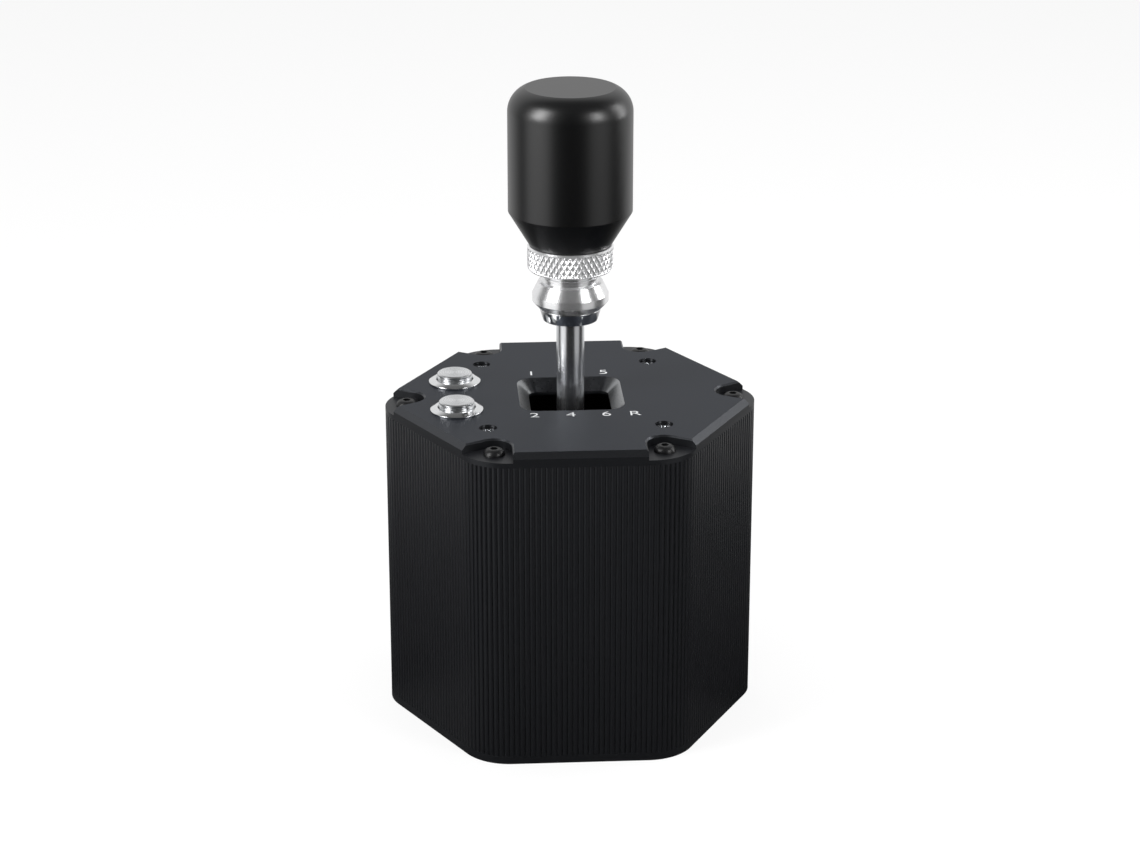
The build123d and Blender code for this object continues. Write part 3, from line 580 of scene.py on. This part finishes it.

# %% [markdown]
# ## Four finishes on the lid
#
# The lid's top is blasted. Its edges and pockets are as dark as the tube, and its bevels and the
# slopes round the lever shine a little more, as milled faces do. The slopes also carry a painted
# reflection, light at the sides and dark behind. The lid could be cut into four pieces, but one solid
# can carry all four finishes: each face takes its own by where it lies and how it leans.

# %% Four finishes on the lid
TOP_SKIN = 0.05 * MM
OPENING_REACH = 19.0 * MM
LEAN_FROM, LEAN_TO = 0.2, 0.95
LID_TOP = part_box("lid")[1].z
FINISH_KINDS = TOP, EDGE, SLOPE, BEVEL = range(4)
lid_mesh = bpy.data.objects["lid_dressed"].data
for finish in (tube_finish, painted_reflection_slope_finish, bevel_finish):
    lid_mesh.materials.append(finish)
for face in lid_mesh.polygons:
    if face.center.z < LID_TOP - TOP_SKIN:
        leans = LEAN_FROM < face.normal.z < LEAN_TO
        inside = max(abs(face.center.x), abs(face.center.y)) < OPENING_REACH
        face.material_index = (SLOPE if inside else BEVEL) if leans else EDGE
counts = [sum(face.material_index == kind for face in lid_mesh.polygons) for kind in FINISH_KINDS]
print("lid faces: top, edges, slopes, bevels", counts)

# %% [markdown]
# ## Outline of the housing
#
# The ribs stand all round the tube, so they need its outline: six flats and six round corners. A
# closed ring of points is enough, because a later step turns it into a curve and walks along it.

# %% Outline of the housing
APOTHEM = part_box("lid")[1].y
CORNER_RADIUS = 18.0 * MM
HEX_SIDES = 6
ARC_STEPS = 14


def hexagon_outline(apothem, corner):
    """Points round a hexagon with round corners, anticlockwise."""
    reach = (apothem - corner) / cos(pi / HEX_SIDES)
    points = []
    for side in range(HEX_SIDES):
        middle = side * 2 * pi / HEX_SIDES
        centre = Vector((reach * cos(middle), reach * sin(middle), 0))
        for step in range(ARC_STEPS + 1):
            angle = middle + (step / ARC_STEPS - 0.5) * 2 * pi / HEX_SIDES
            points.append(centre + Vector((corner * cos(angle), corner * sin(angle), 0)))
    return points


def outline_object(name, points):
    """A closed ring of edges."""
    mesh = bpy.data.meshes.new(name)
    count = len(points)
    mesh.from_pydata(points, [(number, (number + 1) % count) for number in range(count)], [])
    return new_piece(name, mesh)


print("outline of", len(hexagon_outline(APOTHEM, CORNER_RADIUS)), "points")

# %% [markdown]
# ## One rib
#
# The tube is pressed through a die that leaves narrow grooves along its whole height. It is easier to
# add the lands between them than to cut the grooves. One land is a long strip with a trapezoid
# section: a straight curve from low to high, with the section swept along it. The data socket breaks
# the ribs of the rear wall, so a second helper finds the points beside it.

# %% One rib and the socket's place


def rib_strip(tree, given):
    """A strip with a trapezoid section, between two heights."""
    start = node(tree, "ShaderNodeCombineXYZ", {}, {"Z": given.beside("Low")})
    end = node(tree, "ShaderNodeCombineXYZ", {}, {"Z": given.beside("High")})
    line = node(tree, "GeometryNodeCurvePrimitiveLine", {}, {"Start": start, "End": end})
    section = node(
        tree, "GeometryNodeCurvePrimitiveQuadrilateral", {"mode": "TRAPEZOID"},
        {"Height": given.beside("Depth"), "Bottom Width": given.beside("Base Width"),
         "Top Width": given.beside("Top Width"), "Offset": 0.0},
    )
    return node(
        tree, "GeometryNodeCurveToMesh", {}, {"Curve": line, "Profile Curve": section, "Fill Caps": True}
    )


def near_socket(tree, given):
    """Whether a point lies on the rear wall, within reach of the data socket."""
    place = node(tree, "GeometryNodeInputPosition")
    across = node(tree, "ShaderNodeSeparateXYZ", {}, {0: place}, output="X")
    narrow = node(
        tree, "FunctionNodeCompare", {"operation": "LESS_THAN"},
        {"A": across.math("ABSOLUTE"), "B": given.beside("Socket Reach")},
    )
    rear = node(
        tree, "FunctionNodeCompare", {"operation": "GREATER_THAN"}, {"A": across.beside("Y"), "B": 0.0}
    )
    return node(tree, "FunctionNodeBooleanMath", {"operation": "AND"}, {0: narrow, 1: rear})


print("one rib and its place")

# %% [markdown]
# ## The rib tree
#
# Geometry Nodes walk round the outline, put one strip on each step, and turn it to face outwards. A
# loop in Python could do it too, but a tree shows each step on its own and can be tuned by hand. At
# the data socket the strips stop above and below the mouth. So the tree runs three times, and a
# switch tells it whether to fill the wall beside the socket or the rest.

# %% The rib tree
RIB_SIZES = ("Low", "High", "Depth", "Base Width", "Top Width", "Socket Reach")
UP = (0, 0, 1)


def rib_tree(material):
    """Strips along an outline between two heights, but only where they are wanted."""
    tree = bpy.data.node_groups.new("tube ribs", "GeometryNodeTree")
    face = tree.interface
    face.new_socket("Outline", in_out="INPUT", socket_type="NodeSocketGeometry")
    for title in RIB_SIZES:
        face.new_socket(title, in_out="INPUT", socket_type="NodeSocketFloat")
    face.new_socket("Count", in_out="INPUT", socket_type="NodeSocketInt")
    face.new_socket("Near Socket", in_out="INPUT", socket_type="NodeSocketBool")
    face.new_socket("Ribs", in_out="OUTPUT", socket_type="NodeSocketGeometry")
    given = node(tree, "NodeGroupInput")
    curve = node(tree, "GeometryNodeMeshToCurve", {}, {"Mesh": given.beside("Outline")})
    points = node(
        tree, "GeometryNodeCurveToPoints", {}, {"Curve": curve, "Count": given.beside("Count")},
        output="Points",
    )
    outwards = node(
        tree, "ShaderNodeVectorMath", {"operation": "CROSS_PRODUCT"}, {0: points.beside("Tangent"), 1: UP}
    )
    turn = node(
        tree, "FunctionNodeAlignRotationToVector", {"axis": "Y", "pivot_axis": "Z"}, {"Vector": outwards}
    )
    wanted = node(
        tree, "FunctionNodeBooleanMath", {"operation": "XNOR"},
        {0: near_socket(tree, given), 1: given.beside("Near Socket")},
    )
    spread = node(
        tree, "GeometryNodeInstanceOnPoints", {},
        {"Points": points, "Selection": wanted, "Instance": rib_strip(tree, given), "Rotation": turn},
    )
    real = node(tree, "GeometryNodeRealizeInstances", {}, {0: spread})
    coat = node(tree, "GeometryNodeSetMaterial", {}, {"Geometry": real, "Material": material})
    node(tree, "NodeGroupOutput", {}, {"Ribs": coat})
    return tree


ribs = rib_tree(tube_finish)
print("rib tree of", len(ribs.nodes), "nodes")

# %% [markdown]
# ## Ribs round the tube
#
# A modifier runs the tree, and its inputs are set by their identifiers. The result is turned into a
# plain mesh, because the exported model keeps meshes and not modifiers.

# %% Ribs round the tube
RIB_COUNT = 216
RIB_SUNK = 0.05 * MM
RIB_SPARE = 0.02 * MM
RIB_BASE_WIDTH = 1.74 * MM
RIB_TOP_WIDTH = 1.60 * MM
SOCKET_CLEAR = 1.4 * MM
tube_low, tube_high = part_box("housing_tube")
socket_low, socket_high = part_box("data_socket")
rib_depth = APOTHEM - tube_high.y


def grown(piece, tree, values):
    """Run a tree on a piece with its inputs set, and leave a plain mesh."""
    modifier = piece.modifiers.new("grow", "NODES")
    modifier.node_group = tree
    names = {item.name: item.identifier for item in tree.interface.items_tree if item.in_out == "INPUT"}
    for title, value in values.items():
        modifier[names[title]] = value
    seen = piece.evaluated_get(bpy.context.evaluated_depsgraph_get())
    mesh = bpy.data.meshes.new_from_object(seen)
    piece.modifiers.remove(modifier)
    piece.data = mesh
    return piece


rib_runs = {
    # name: foot, head, whether the run is the one beside the socket
    "tube_ribs": (tube_low.z, tube_high.z, False),
    "tube_ribs_below_socket": (tube_low.z, socket_low.z - SOCKET_CLEAR, True),
    "tube_ribs_above_socket": (socket_high.z + SOCKET_CLEAR, tube_high.z, True),
}
rib_inset = (rib_depth + RIB_SUNK) / 2 + RIB_SPARE
for name, (low, high, beside_socket) in rib_runs.items():
    outline = outline_object(name, hexagon_outline(APOTHEM - rib_inset, CORNER_RADIUS - rib_inset))
    grown(outline, ribs, {
        "Low": low, "High": high, "Depth": rib_depth + RIB_SUNK, "Base Width": RIB_BASE_WIDTH,
        "Top Width": RIB_TOP_WIDTH, "Count": RIB_COUNT, "Near Socket": beside_socket,
        "Socket Reach": socket_high.x + SOCKET_CLEAR,
    })
    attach(outline, "housing")
    print(name, len(outline.data.polygons), "faces")

# %% [markdown]
# ## Turned pieces
#
# The knob, the adapter, the shaft and the buttons are all turned. Each could be built from cylinders
# and cones, but one outline, spun round an axis, keeps a piece closed and gives even faces. Another
# function rounds the outline's corners first, because a real edge always catches a line of light.

# %% Spin an outline
SPIN_STEPS = 144
SMALL_SPIN_STEPS = 96
EDGE_STEPS = 4
LONGEST_CUT = 0.4
NEARLY_STRAIGHT = radians(86)
ON_THE_AXIS = 1e-7


def softened(outline, radius):
    """Replace each inner corner of an outline by a small arc."""
    points = [Vector(point) for point in outline]
    made = [points[0]]
    for before, corner, after in zip(points, points[1:], points[2:]):
        to_before, to_after = before - corner, after - corner
        half = to_before.angle(to_after) / 2
        if half > NEARLY_STRAIGHT:
            made.append(corner)
            continue
        cut = min(radius / tan(half), LONGEST_CUT * to_before.length, LONGEST_CUT * to_after.length)
        start = corner + to_before.normalized() * cut
        end = corner + to_after.normalized() * cut
        for step in range(EDGE_STEPS + 1):
            t = step / EDGE_STEPS
            made.append(start * (1 - t) ** 2 + corner * (2 * t * (1 - t)) + end * t**2)
    return made + [points[-1]]


def spun(name, outline, centre=(0, 0), floor=0.0, steps=SPIN_STEPS, height=None, crisp=CRISP_DEGREES):
    """A closed solid of revolution from (radius, height) points in millimetres, bottom axis to top axis."""
    rings = [(point[0] * MM, floor + point[1] * MM) for point in outline]
    verts, faces, starts = [], [], []
    for reach, level in rings:
        starts.append(len(verts))
        if reach < ON_THE_AXIS:
            verts.append((centre[0], centre[1], level))
            continue
        for step in range(steps):
            angle = 2 * pi * step / steps
            out = reach + (height(angle, level) if height else 0.0)
            verts.append((centre[0] + out * cos(angle), centre[1] + out * sin(angle), level))
    for ring in range(len(rings) - 1):
        lower, upper = starts[ring], starts[ring + 1]
        low_point, high_point = rings[ring][0] < ON_THE_AXIS, rings[ring + 1][0] < ON_THE_AXIS
        for step in range(steps):
            following = (step + 1) % steps
            if low_point:
                faces.append((lower, upper + following, upper + step))
            elif high_point:
                faces.append((lower + step, lower + following, upper))
            else:
                faces.append((lower + step, lower + following, upper + following, upper + step))
    mesh = bpy.data.meshes.new(name)
    mesh.from_pydata(verts, [], faces)
    return finish_mesh(new_piece(name, mesh), crisp)


print("a turned piece has", SPIN_STEPS, "steps round")

# %% [markdown]
# ## The knob
#
# A cylinder on a cone, with a large round crown that stops at a flat top. The crown could be a bevel,
# but that would run smoothly into the top. Here it is a true arc that ends at the flat, so the flat's
# edge stays crisp, as on the real knob.

# %% Knob
KNOB_FOOT_RADIUS = 14.5
KNOB_RADIUS = 22.0
KNOB_CONE_HEIGHT = 12.4
KNOB_EDGE = 0.6
KNOB_CRISP_DEGREES = 12.0
CROWN_RADIUS = 9.0
FLAT_RADIUS = 15.9
CROWN_STEPS = 20
knob_low, knob_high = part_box("knob")
knob_height = (knob_high.z - knob_low.z) / MM

crown_centre = KNOB_RADIUS - CROWN_RADIUS
crown_rise = sqrt(CROWN_RADIUS**2 - (FLAT_RADIUS - crown_centre) ** 2)
crown_foot = knob_height - crown_rise
crown_end = atan2(crown_rise, FLAT_RADIUS - crown_centre)
crown = [
    (crown_centre + CROWN_RADIUS * cos(crown_end * step / CROWN_STEPS),
     crown_foot + CROWN_RADIUS * sin(crown_end * step / CROWN_STEPS))
    for step in range(CROWN_STEPS + 1)
]
knob_side = softened(
    [(0, 0), (KNOB_FOOT_RADIUS, 0), (KNOB_RADIUS, KNOB_CONE_HEIGHT), crown[0]], KNOB_EDGE
)
knob_outline = knob_side + crown[1:] + [(0, knob_height)]
knob = spun("knob_dressed", knob_outline, floor=knob_low.z, crisp=KNOB_CRISP_DEGREES)
placed(knob, "knob", knob_finish)
print("knob", round(knob_height, 1), "mm high")

# %% [markdown]
# ## The knurled ring
#
# Knurling rolls two sets of helical ridges across each other. A bump map would look flat at the
# ring's edge, so the ridges are real. The radius at any place is the higher of the two ridges, so the
# crossing lines stand proud and leave small diamond pits.

# %% Knurled ring
KNURL_COUNT = 46
KNURL_RISE = 3.6
KNURL_DEPTH = 0.36
KNURL_SHARPNESS = 3
KNURL_FADE = 0.3
KNURL_ROWS = 44
STEPS_PER_RIDGE = 12
RING_RADIUS = 15.3
RING_BEVEL = 0.6
ring_low, ring_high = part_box("lock_ring")
ring_height = (ring_high.z - ring_low.z) / MM


def ridge(turns):
    """A narrow ridge once a turn, from 0 in the groove to 1 on the crest."""
    return (0.5 + 0.5 * cos(2 * pi * turns)) ** KNURL_SHARPNESS


def knurl(angle, level):
    """How far the knurl lies below the crests at an angle and a height."""
    up = (level - ring_low.z) / MM
    inside = min(up, ring_height - up)
    if inside < RING_BEVEL:
        return 0.0
    along = KNURL_COUNT * angle / (2 * pi)
    rise = up / KNURL_RISE
    crest = max(ridge(along + rise), ridge(along - rise))
    fade = min(1.0, (inside - RING_BEVEL) / KNURL_FADE)
    return -(1 - crest) * KNURL_DEPTH * fade * MM


knurled_side = [
    (RING_RADIUS, RING_BEVEL + (ring_height - 2 * RING_BEVEL) * row / KNURL_ROWS)
    for row in range(KNURL_ROWS + 1)
]
ring_outline = (
    [(0, 0), (RING_RADIUS - RING_BEVEL, 0)] + knurled_side
    + [(RING_RADIUS - RING_BEVEL, ring_height), (0, ring_height)]
)
ring = spun(
    "lock_ring_dressed", ring_outline, floor=ring_low.z, steps=KNURL_COUNT * STEPS_PER_RIDGE, height=knurl
)
placed(ring, "lock_ring", knurled_finish)
print("knurl", len(ring.data.polygons), "faces")

# %% [markdown]
# ## Adapter, taper and shaft
#
# The knob screws on a bright double cone with a ringed neck. Under it a tapered collet grips the
# shaft. All three are plain outlines, because every corner of theirs can be read from the side.

# %% Adapter, taper and shaft
ADAPTER_OUTLINE = [
    (0, 0), (11.1, 0), (13.6, 2.7), (13.6, 5.4), (11.5, 9.7), (10.0, 10.0), (10.0, 11.2), (10.4, 11.2),
    (10.4, 12.1), (10.0, 12.1), (10.0, 13.2), (10.5, 13.2), (10.5, 14.4), (0, 14.4),
]
ADAPTER_EDGE = 0.12
ADAPTER_CRISP_DEGREES = 12.0
COLLET_OUTLINE = [(0, 0), (9.8, 0), (11.1, 4.38), (0, 4.38)]
COLLET_EDGE = 0.2
SHAFT_RADIUS = 5.0
SHAFT_EDGE = 0.3

adapter = spun(
    "knob_adapter_dressed", softened(ADAPTER_OUTLINE, ADAPTER_EDGE), floor=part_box("knob_adapter")[0].z,
    crisp=ADAPTER_CRISP_DEGREES,
)
placed(adapter, "knob_adapter", adapter_finish)
collet = spun(
    "collet_cone_dressed", softened(COLLET_OUTLINE, COLLET_EDGE), floor=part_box("collet_cone")[0].z
)
placed(collet, "collet_cone", polished_finish)
shaft_low, shaft_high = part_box("lever_shaft")
shaft_height = (shaft_high.z - shaft_low.z) / MM
shaft_outline = [(0, 0), (SHAFT_RADIUS, 0), (SHAFT_RADIUS, shaft_height), (0, shaft_height)]
shaft = spun(
    "lever_shaft_dressed", softened(shaft_outline, SHAFT_EDGE), floor=shaft_low.z, steps=SMALL_SPIN_STEPS
)
placed(shaft, "lever_shaft", shaft_finish)
print("shaft", round(shaft_height, 1), "mm long")

# %% [markdown]
# ## Push buttons
#
# Each button is a stainless bezel with a bevelled flange, and a cap that stands above it. The cap
# has a groove round its side and a spun face. The same two outlines serve both buttons, and each cap
# gets a finish of its own, because the rings have to run round its own axis.

# %% Push buttons
BEZEL_OUTLINE = [
    (0, -22), (7.9, -22), (7.9, 0.02), (9.4, 0.02), (9.4, 0.6), (7.7, 1.6), (6.9, 1.6), (6.55, 1.0),
    (6.55, -6), (0, -6),
]
BEZEL_EDGE = 0.15
CAP_OUTLINE = [
    (0, -2.3), (6.25, -2.3), (6.25, 2.25), (5.95, 2.4), (5.95, 2.8), (6.25, 2.95), (6.25, 3.4),
    (5.75, 3.8), (0, 3.8),
]
CAP_EDGE = 0.12
for side in ("front", "rear"):
    cap_low, cap_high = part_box(f"{side}_button_cap")
    centre = (cap_low + cap_high) / 2
    bezel = spun(
        f"{side}_button_body_dressed", softened(BEZEL_OUTLINE, BEZEL_EDGE), centre=centre[:2],
        floor=LID_TOP, steps=SMALL_SPIN_STEPS,
    )
    placed(bezel, f"{side}_button_body", polished_finish)
    cap = spun(
        f"{side}_button_cap_dressed", softened(CAP_OUTLINE, CAP_EDGE), centre=centre[:2],
        floor=LID_TOP, steps=SMALL_SPIN_STEPS,
    )
    placed(cap, f"{side}_button_cap", spun_metal(f"spun steel {side}", centre))
    print(side, "button at", [round(part / MM, 1) for part in centre[:2]])

# %% [markdown]
# ## Gear numbers
#
# The numbers are marked on the lid beside the places that the lever goes to. A picture of them would
# blur in a close view. So each number is a text curve, turned into a mesh and laid on the lid. It is
# so thin that it reads as print, yet it is real geometry and stays sharp.

# %% Gear numbers
NUMBER_HEIGHT = 6.1 * MM
NUMBER_LIFT = 0.02 * MM
NUMBER_SPREAD = 1.24
NUMBER_THINNING = 0.05 * MM
NUMBER_REACH = 22.2
numbers = [
    # number, and its place on the lid in millimetres
    ("1", -13.0, NUMBER_REACH), ("3", 0.3, NUMBER_REACH), ("5", 13.5, NUMBER_REACH),
    ("2", -14.0, -NUMBER_REACH), ("4", -1.1, -NUMBER_REACH), ("6", 11.4, -NUMBER_REACH),
    ("R", 21.5, -NUMBER_REACH),
]


def gear_number(letter, x, y):
    """A thin flat number on the lid, with its centre at a place in millimetres."""
    text = bpy.data.curves.new(f"mark_{letter}", "FONT")
    text.body = letter
    text.size = NUMBER_HEIGHT
    text.align_x = "CENTER"
    text.align_y = "CENTER"
    text.extrude = NUMBER_LIFT
    text.offset = -NUMBER_THINNING
    holder = new_piece(f"mark_{letter}", text)
    seen = holder.evaluated_get(bpy.context.evaluated_depsgraph_get())
    mesh = bpy.data.meshes.new_from_object(seen)
    bpy.data.objects.remove(holder)
    spread = Matrix.Diagonal((NUMBER_SPREAD, 1, 1, 1))
    mesh.transform(Matrix.Translation((x * MM, y * MM, LID_TOP + NUMBER_LIFT)) @ spread)
    mesh.materials.clear()
    mesh.materials.append(print_finish)
    piece = new_piece(f"gear_mark_{letter}", mesh)
    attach(piece, "housing")
    return piece


for letter, x, y in numbers:
    gear_number(letter, x, y)
print(len(numbers), "gear marks")

# %% [markdown]
# ## The room in reflections
#
# The photograph has a pure white ground, yet its black pieces stay black and its metal shows crisp
# bands. A white room all round would turn the black pieces grey. So a reflection sees a dark room
# with three bright places: the white ground behind, a tall soft panel at the left and a weaker one at
# the right. A faint glow overhead keeps the metal from going black when it is seen from above.

# %% Room in reflections
ROOM_DARK = 0.02
BRIGHT_PLACES = [
    # direction, cosine where the glow starts, cosine where it is full, strength
    ((0.0, 1.0, 0.0), 0.15, 0.65, 0.76),
    ((-0.906, -0.423, 0.0), 0.86, 0.95, 1.0),
    ((0.788, -0.616, 0.0), 0.90, 0.97, 0.48),
    ((0.0, 0.0, 1.0), 0.50, 1.0, 0.10),
]


def room_reflected(tree, direction):
    """How bright a reflection of the room is, by the direction it looks in."""
    unit = node(tree, "ShaderNodeVectorMath", {"operation": "NORMALIZE"}, {0: direction})
    level = ROOM_DARK
    for aim, edge, full, strength in BRIGHT_PLACES:
        along = node(
            tree, "ShaderNodeVectorMath", {"operation": "DOT_PRODUCT"}, {0: unit, 1: aim}, output="Value"
        )
        level = smooth_step(tree, along, edge, full, high=strength) + level
    return level


print(len(BRIGHT_PLACES), "bright places")

# %% [markdown]
# ## The floor
#
# The floor is a large plain square. Where the camera or clear material looks at it, it glows white,
# but for a small share that stays plain paint and catches the object's shadow. In a reflection it
# carries the staged room on below the horizon, and fades near the object, which would shade it.

# %% Floor
FLOOR_HALF = 4.0
FLOOR_GLOW_SHARE = 0.82
FLOOR_PAINT = (0.9, 0.9, 0.9)
SHADED_REACH = 0.20
LIT_REACH = 0.42
SHADED_LEVEL = 0.1


def floor_material():
    material = bpy.data.materials.new("white floor")
    material.use_nodes = True
    tree = material.node_tree
    tree.nodes.clear()
    seen = node(tree, "ShaderNodeLightPath", output="Is Camera Ray")
    glossy = seen.beside("Is Glossy Ray")
    through = seen.beside("Is Transmission Ray")
    paint = node(tree, "ShaderNodeBsdfDiffuse", {}, {"Color": rgba(FLOOR_PAINT)})
    place = node(tree, "ShaderNodeTexCoord", output="Object")
    away = node(tree, "ShaderNodeVectorMath", {"operation": "LENGTH"}, {0: place}, output="Value")
    lit = smooth_step(tree, away, SHADED_REACH, LIT_REACH, low=SHADED_LEVEL)
    strength = seen + through + glossy * (room_reflected(tree, place) * lit)
    glow = node(tree, "ShaderNodeEmission", {}, {"Color": rgba(WHITE), "Strength": strength})
    share = (seen * FLOOR_GLOW_SHARE + glossy + through).math("MINIMUM", 1.0)
    mix = node(tree, "ShaderNodeMixShader", {}, {0: share, 1: paint, 2: glow})
    node(tree, "ShaderNodeOutputMaterial", {}, {"Surface": mix})
    return material


floor_mesh = bpy.data.meshes.new("floor")
corners = [(-1, -1), (1, -1), (1, 1), (-1, 1)]
floor_mesh.from_pydata([(x * FLOOR_HALF, y * FLOOR_HALF, 0) for x, y in corners], [], [(0, 1, 2, 3)])
floor_mesh.materials.append(floor_material())
floor = new_piece("floor", floor_mesh)
print("floor", 2 * FLOOR_HALF, "m wide")

# %% [markdown]
# ## The sky
#
# The world behind everything does the same as the floor: white for the camera, the staged room in
# reflections. For all other rays it is an even, dim light, which fills the shadows.

# %% Sky
AMBIENT = 0.5


def sky():
    world = bpy.data.worlds.new("studio")
    bpy.context.scene.world = world
    world.use_nodes = True
    tree = world.node_tree
    tree.nodes.clear()
    seen = node(tree, "ShaderNodeLightPath", output="Is Camera Ray")
    glossy = seen.beside("Is Glossy Ray")
    white = (seen + seen.beside("Is Transmission Ray")).math("MINIMUM", 1.0)
    direction = node(tree, "ShaderNodeTexCoord", output="Generated")
    other = 1 - (white + glossy).math("MINIMUM", 1.0)
    level = white + glossy * room_reflected(tree, direction) + other * AMBIENT
    glow = node(tree, "ShaderNodeBackground", {}, {"Color": rgba(WHITE), "Strength": level})
    node(tree, "ShaderNodeOutputWorld", {}, {"Surface": glow})
    return world


print("world", sky().name)

# %% [markdown]
# ## Lamps
#
# Four soft panels light the object: a strong one at the left, weaker ones at the right and behind,
# and a large one overhead. Point lamps would leave hard spots on the turned metal. The overhead panel
# is hidden from reflections, or it would print a bright square on the lid and the caps.

# %% Lamps
LAMP_AIM = Vector((0, 0, 0.15))
lamps = {
    # name: place in metres, width and height in metres, watts
    "left panel": ((-0.84, -0.42, 0.62), (0.38, 0.70), 9.0),
    "right panel": ((0.70, -0.62, 0.55), (0.26, 0.50), 3.6),
    "rear right panel": ((0.92, 0.22, 0.42), (0.30, 0.70), 3.2),
    "overhead": ((0.05, 0.15, 1.25), (0.9, 0.9), 8.0),
}
for name, (place, size, power) in lamps.items():
    light = bpy.data.lights.new(name, "AREA")
    light.shape = "RECTANGLE"
    light.size, light.size_y = size
    light.energy = power
    lamp = bpy.data.objects.new(name, light)
    lamp.location = place
    lamp.rotation_euler = (LAMP_AIM - Vector(place)).to_track_quat("-Z", "Y").to_euler()
    bpy.context.scene.collection.objects.link(lamp)
    lamp.visible_glossy = name != "overhead"
bpy.context.scene.view_settings.view_transform = "Standard"
print(len(lamps), "lamps")
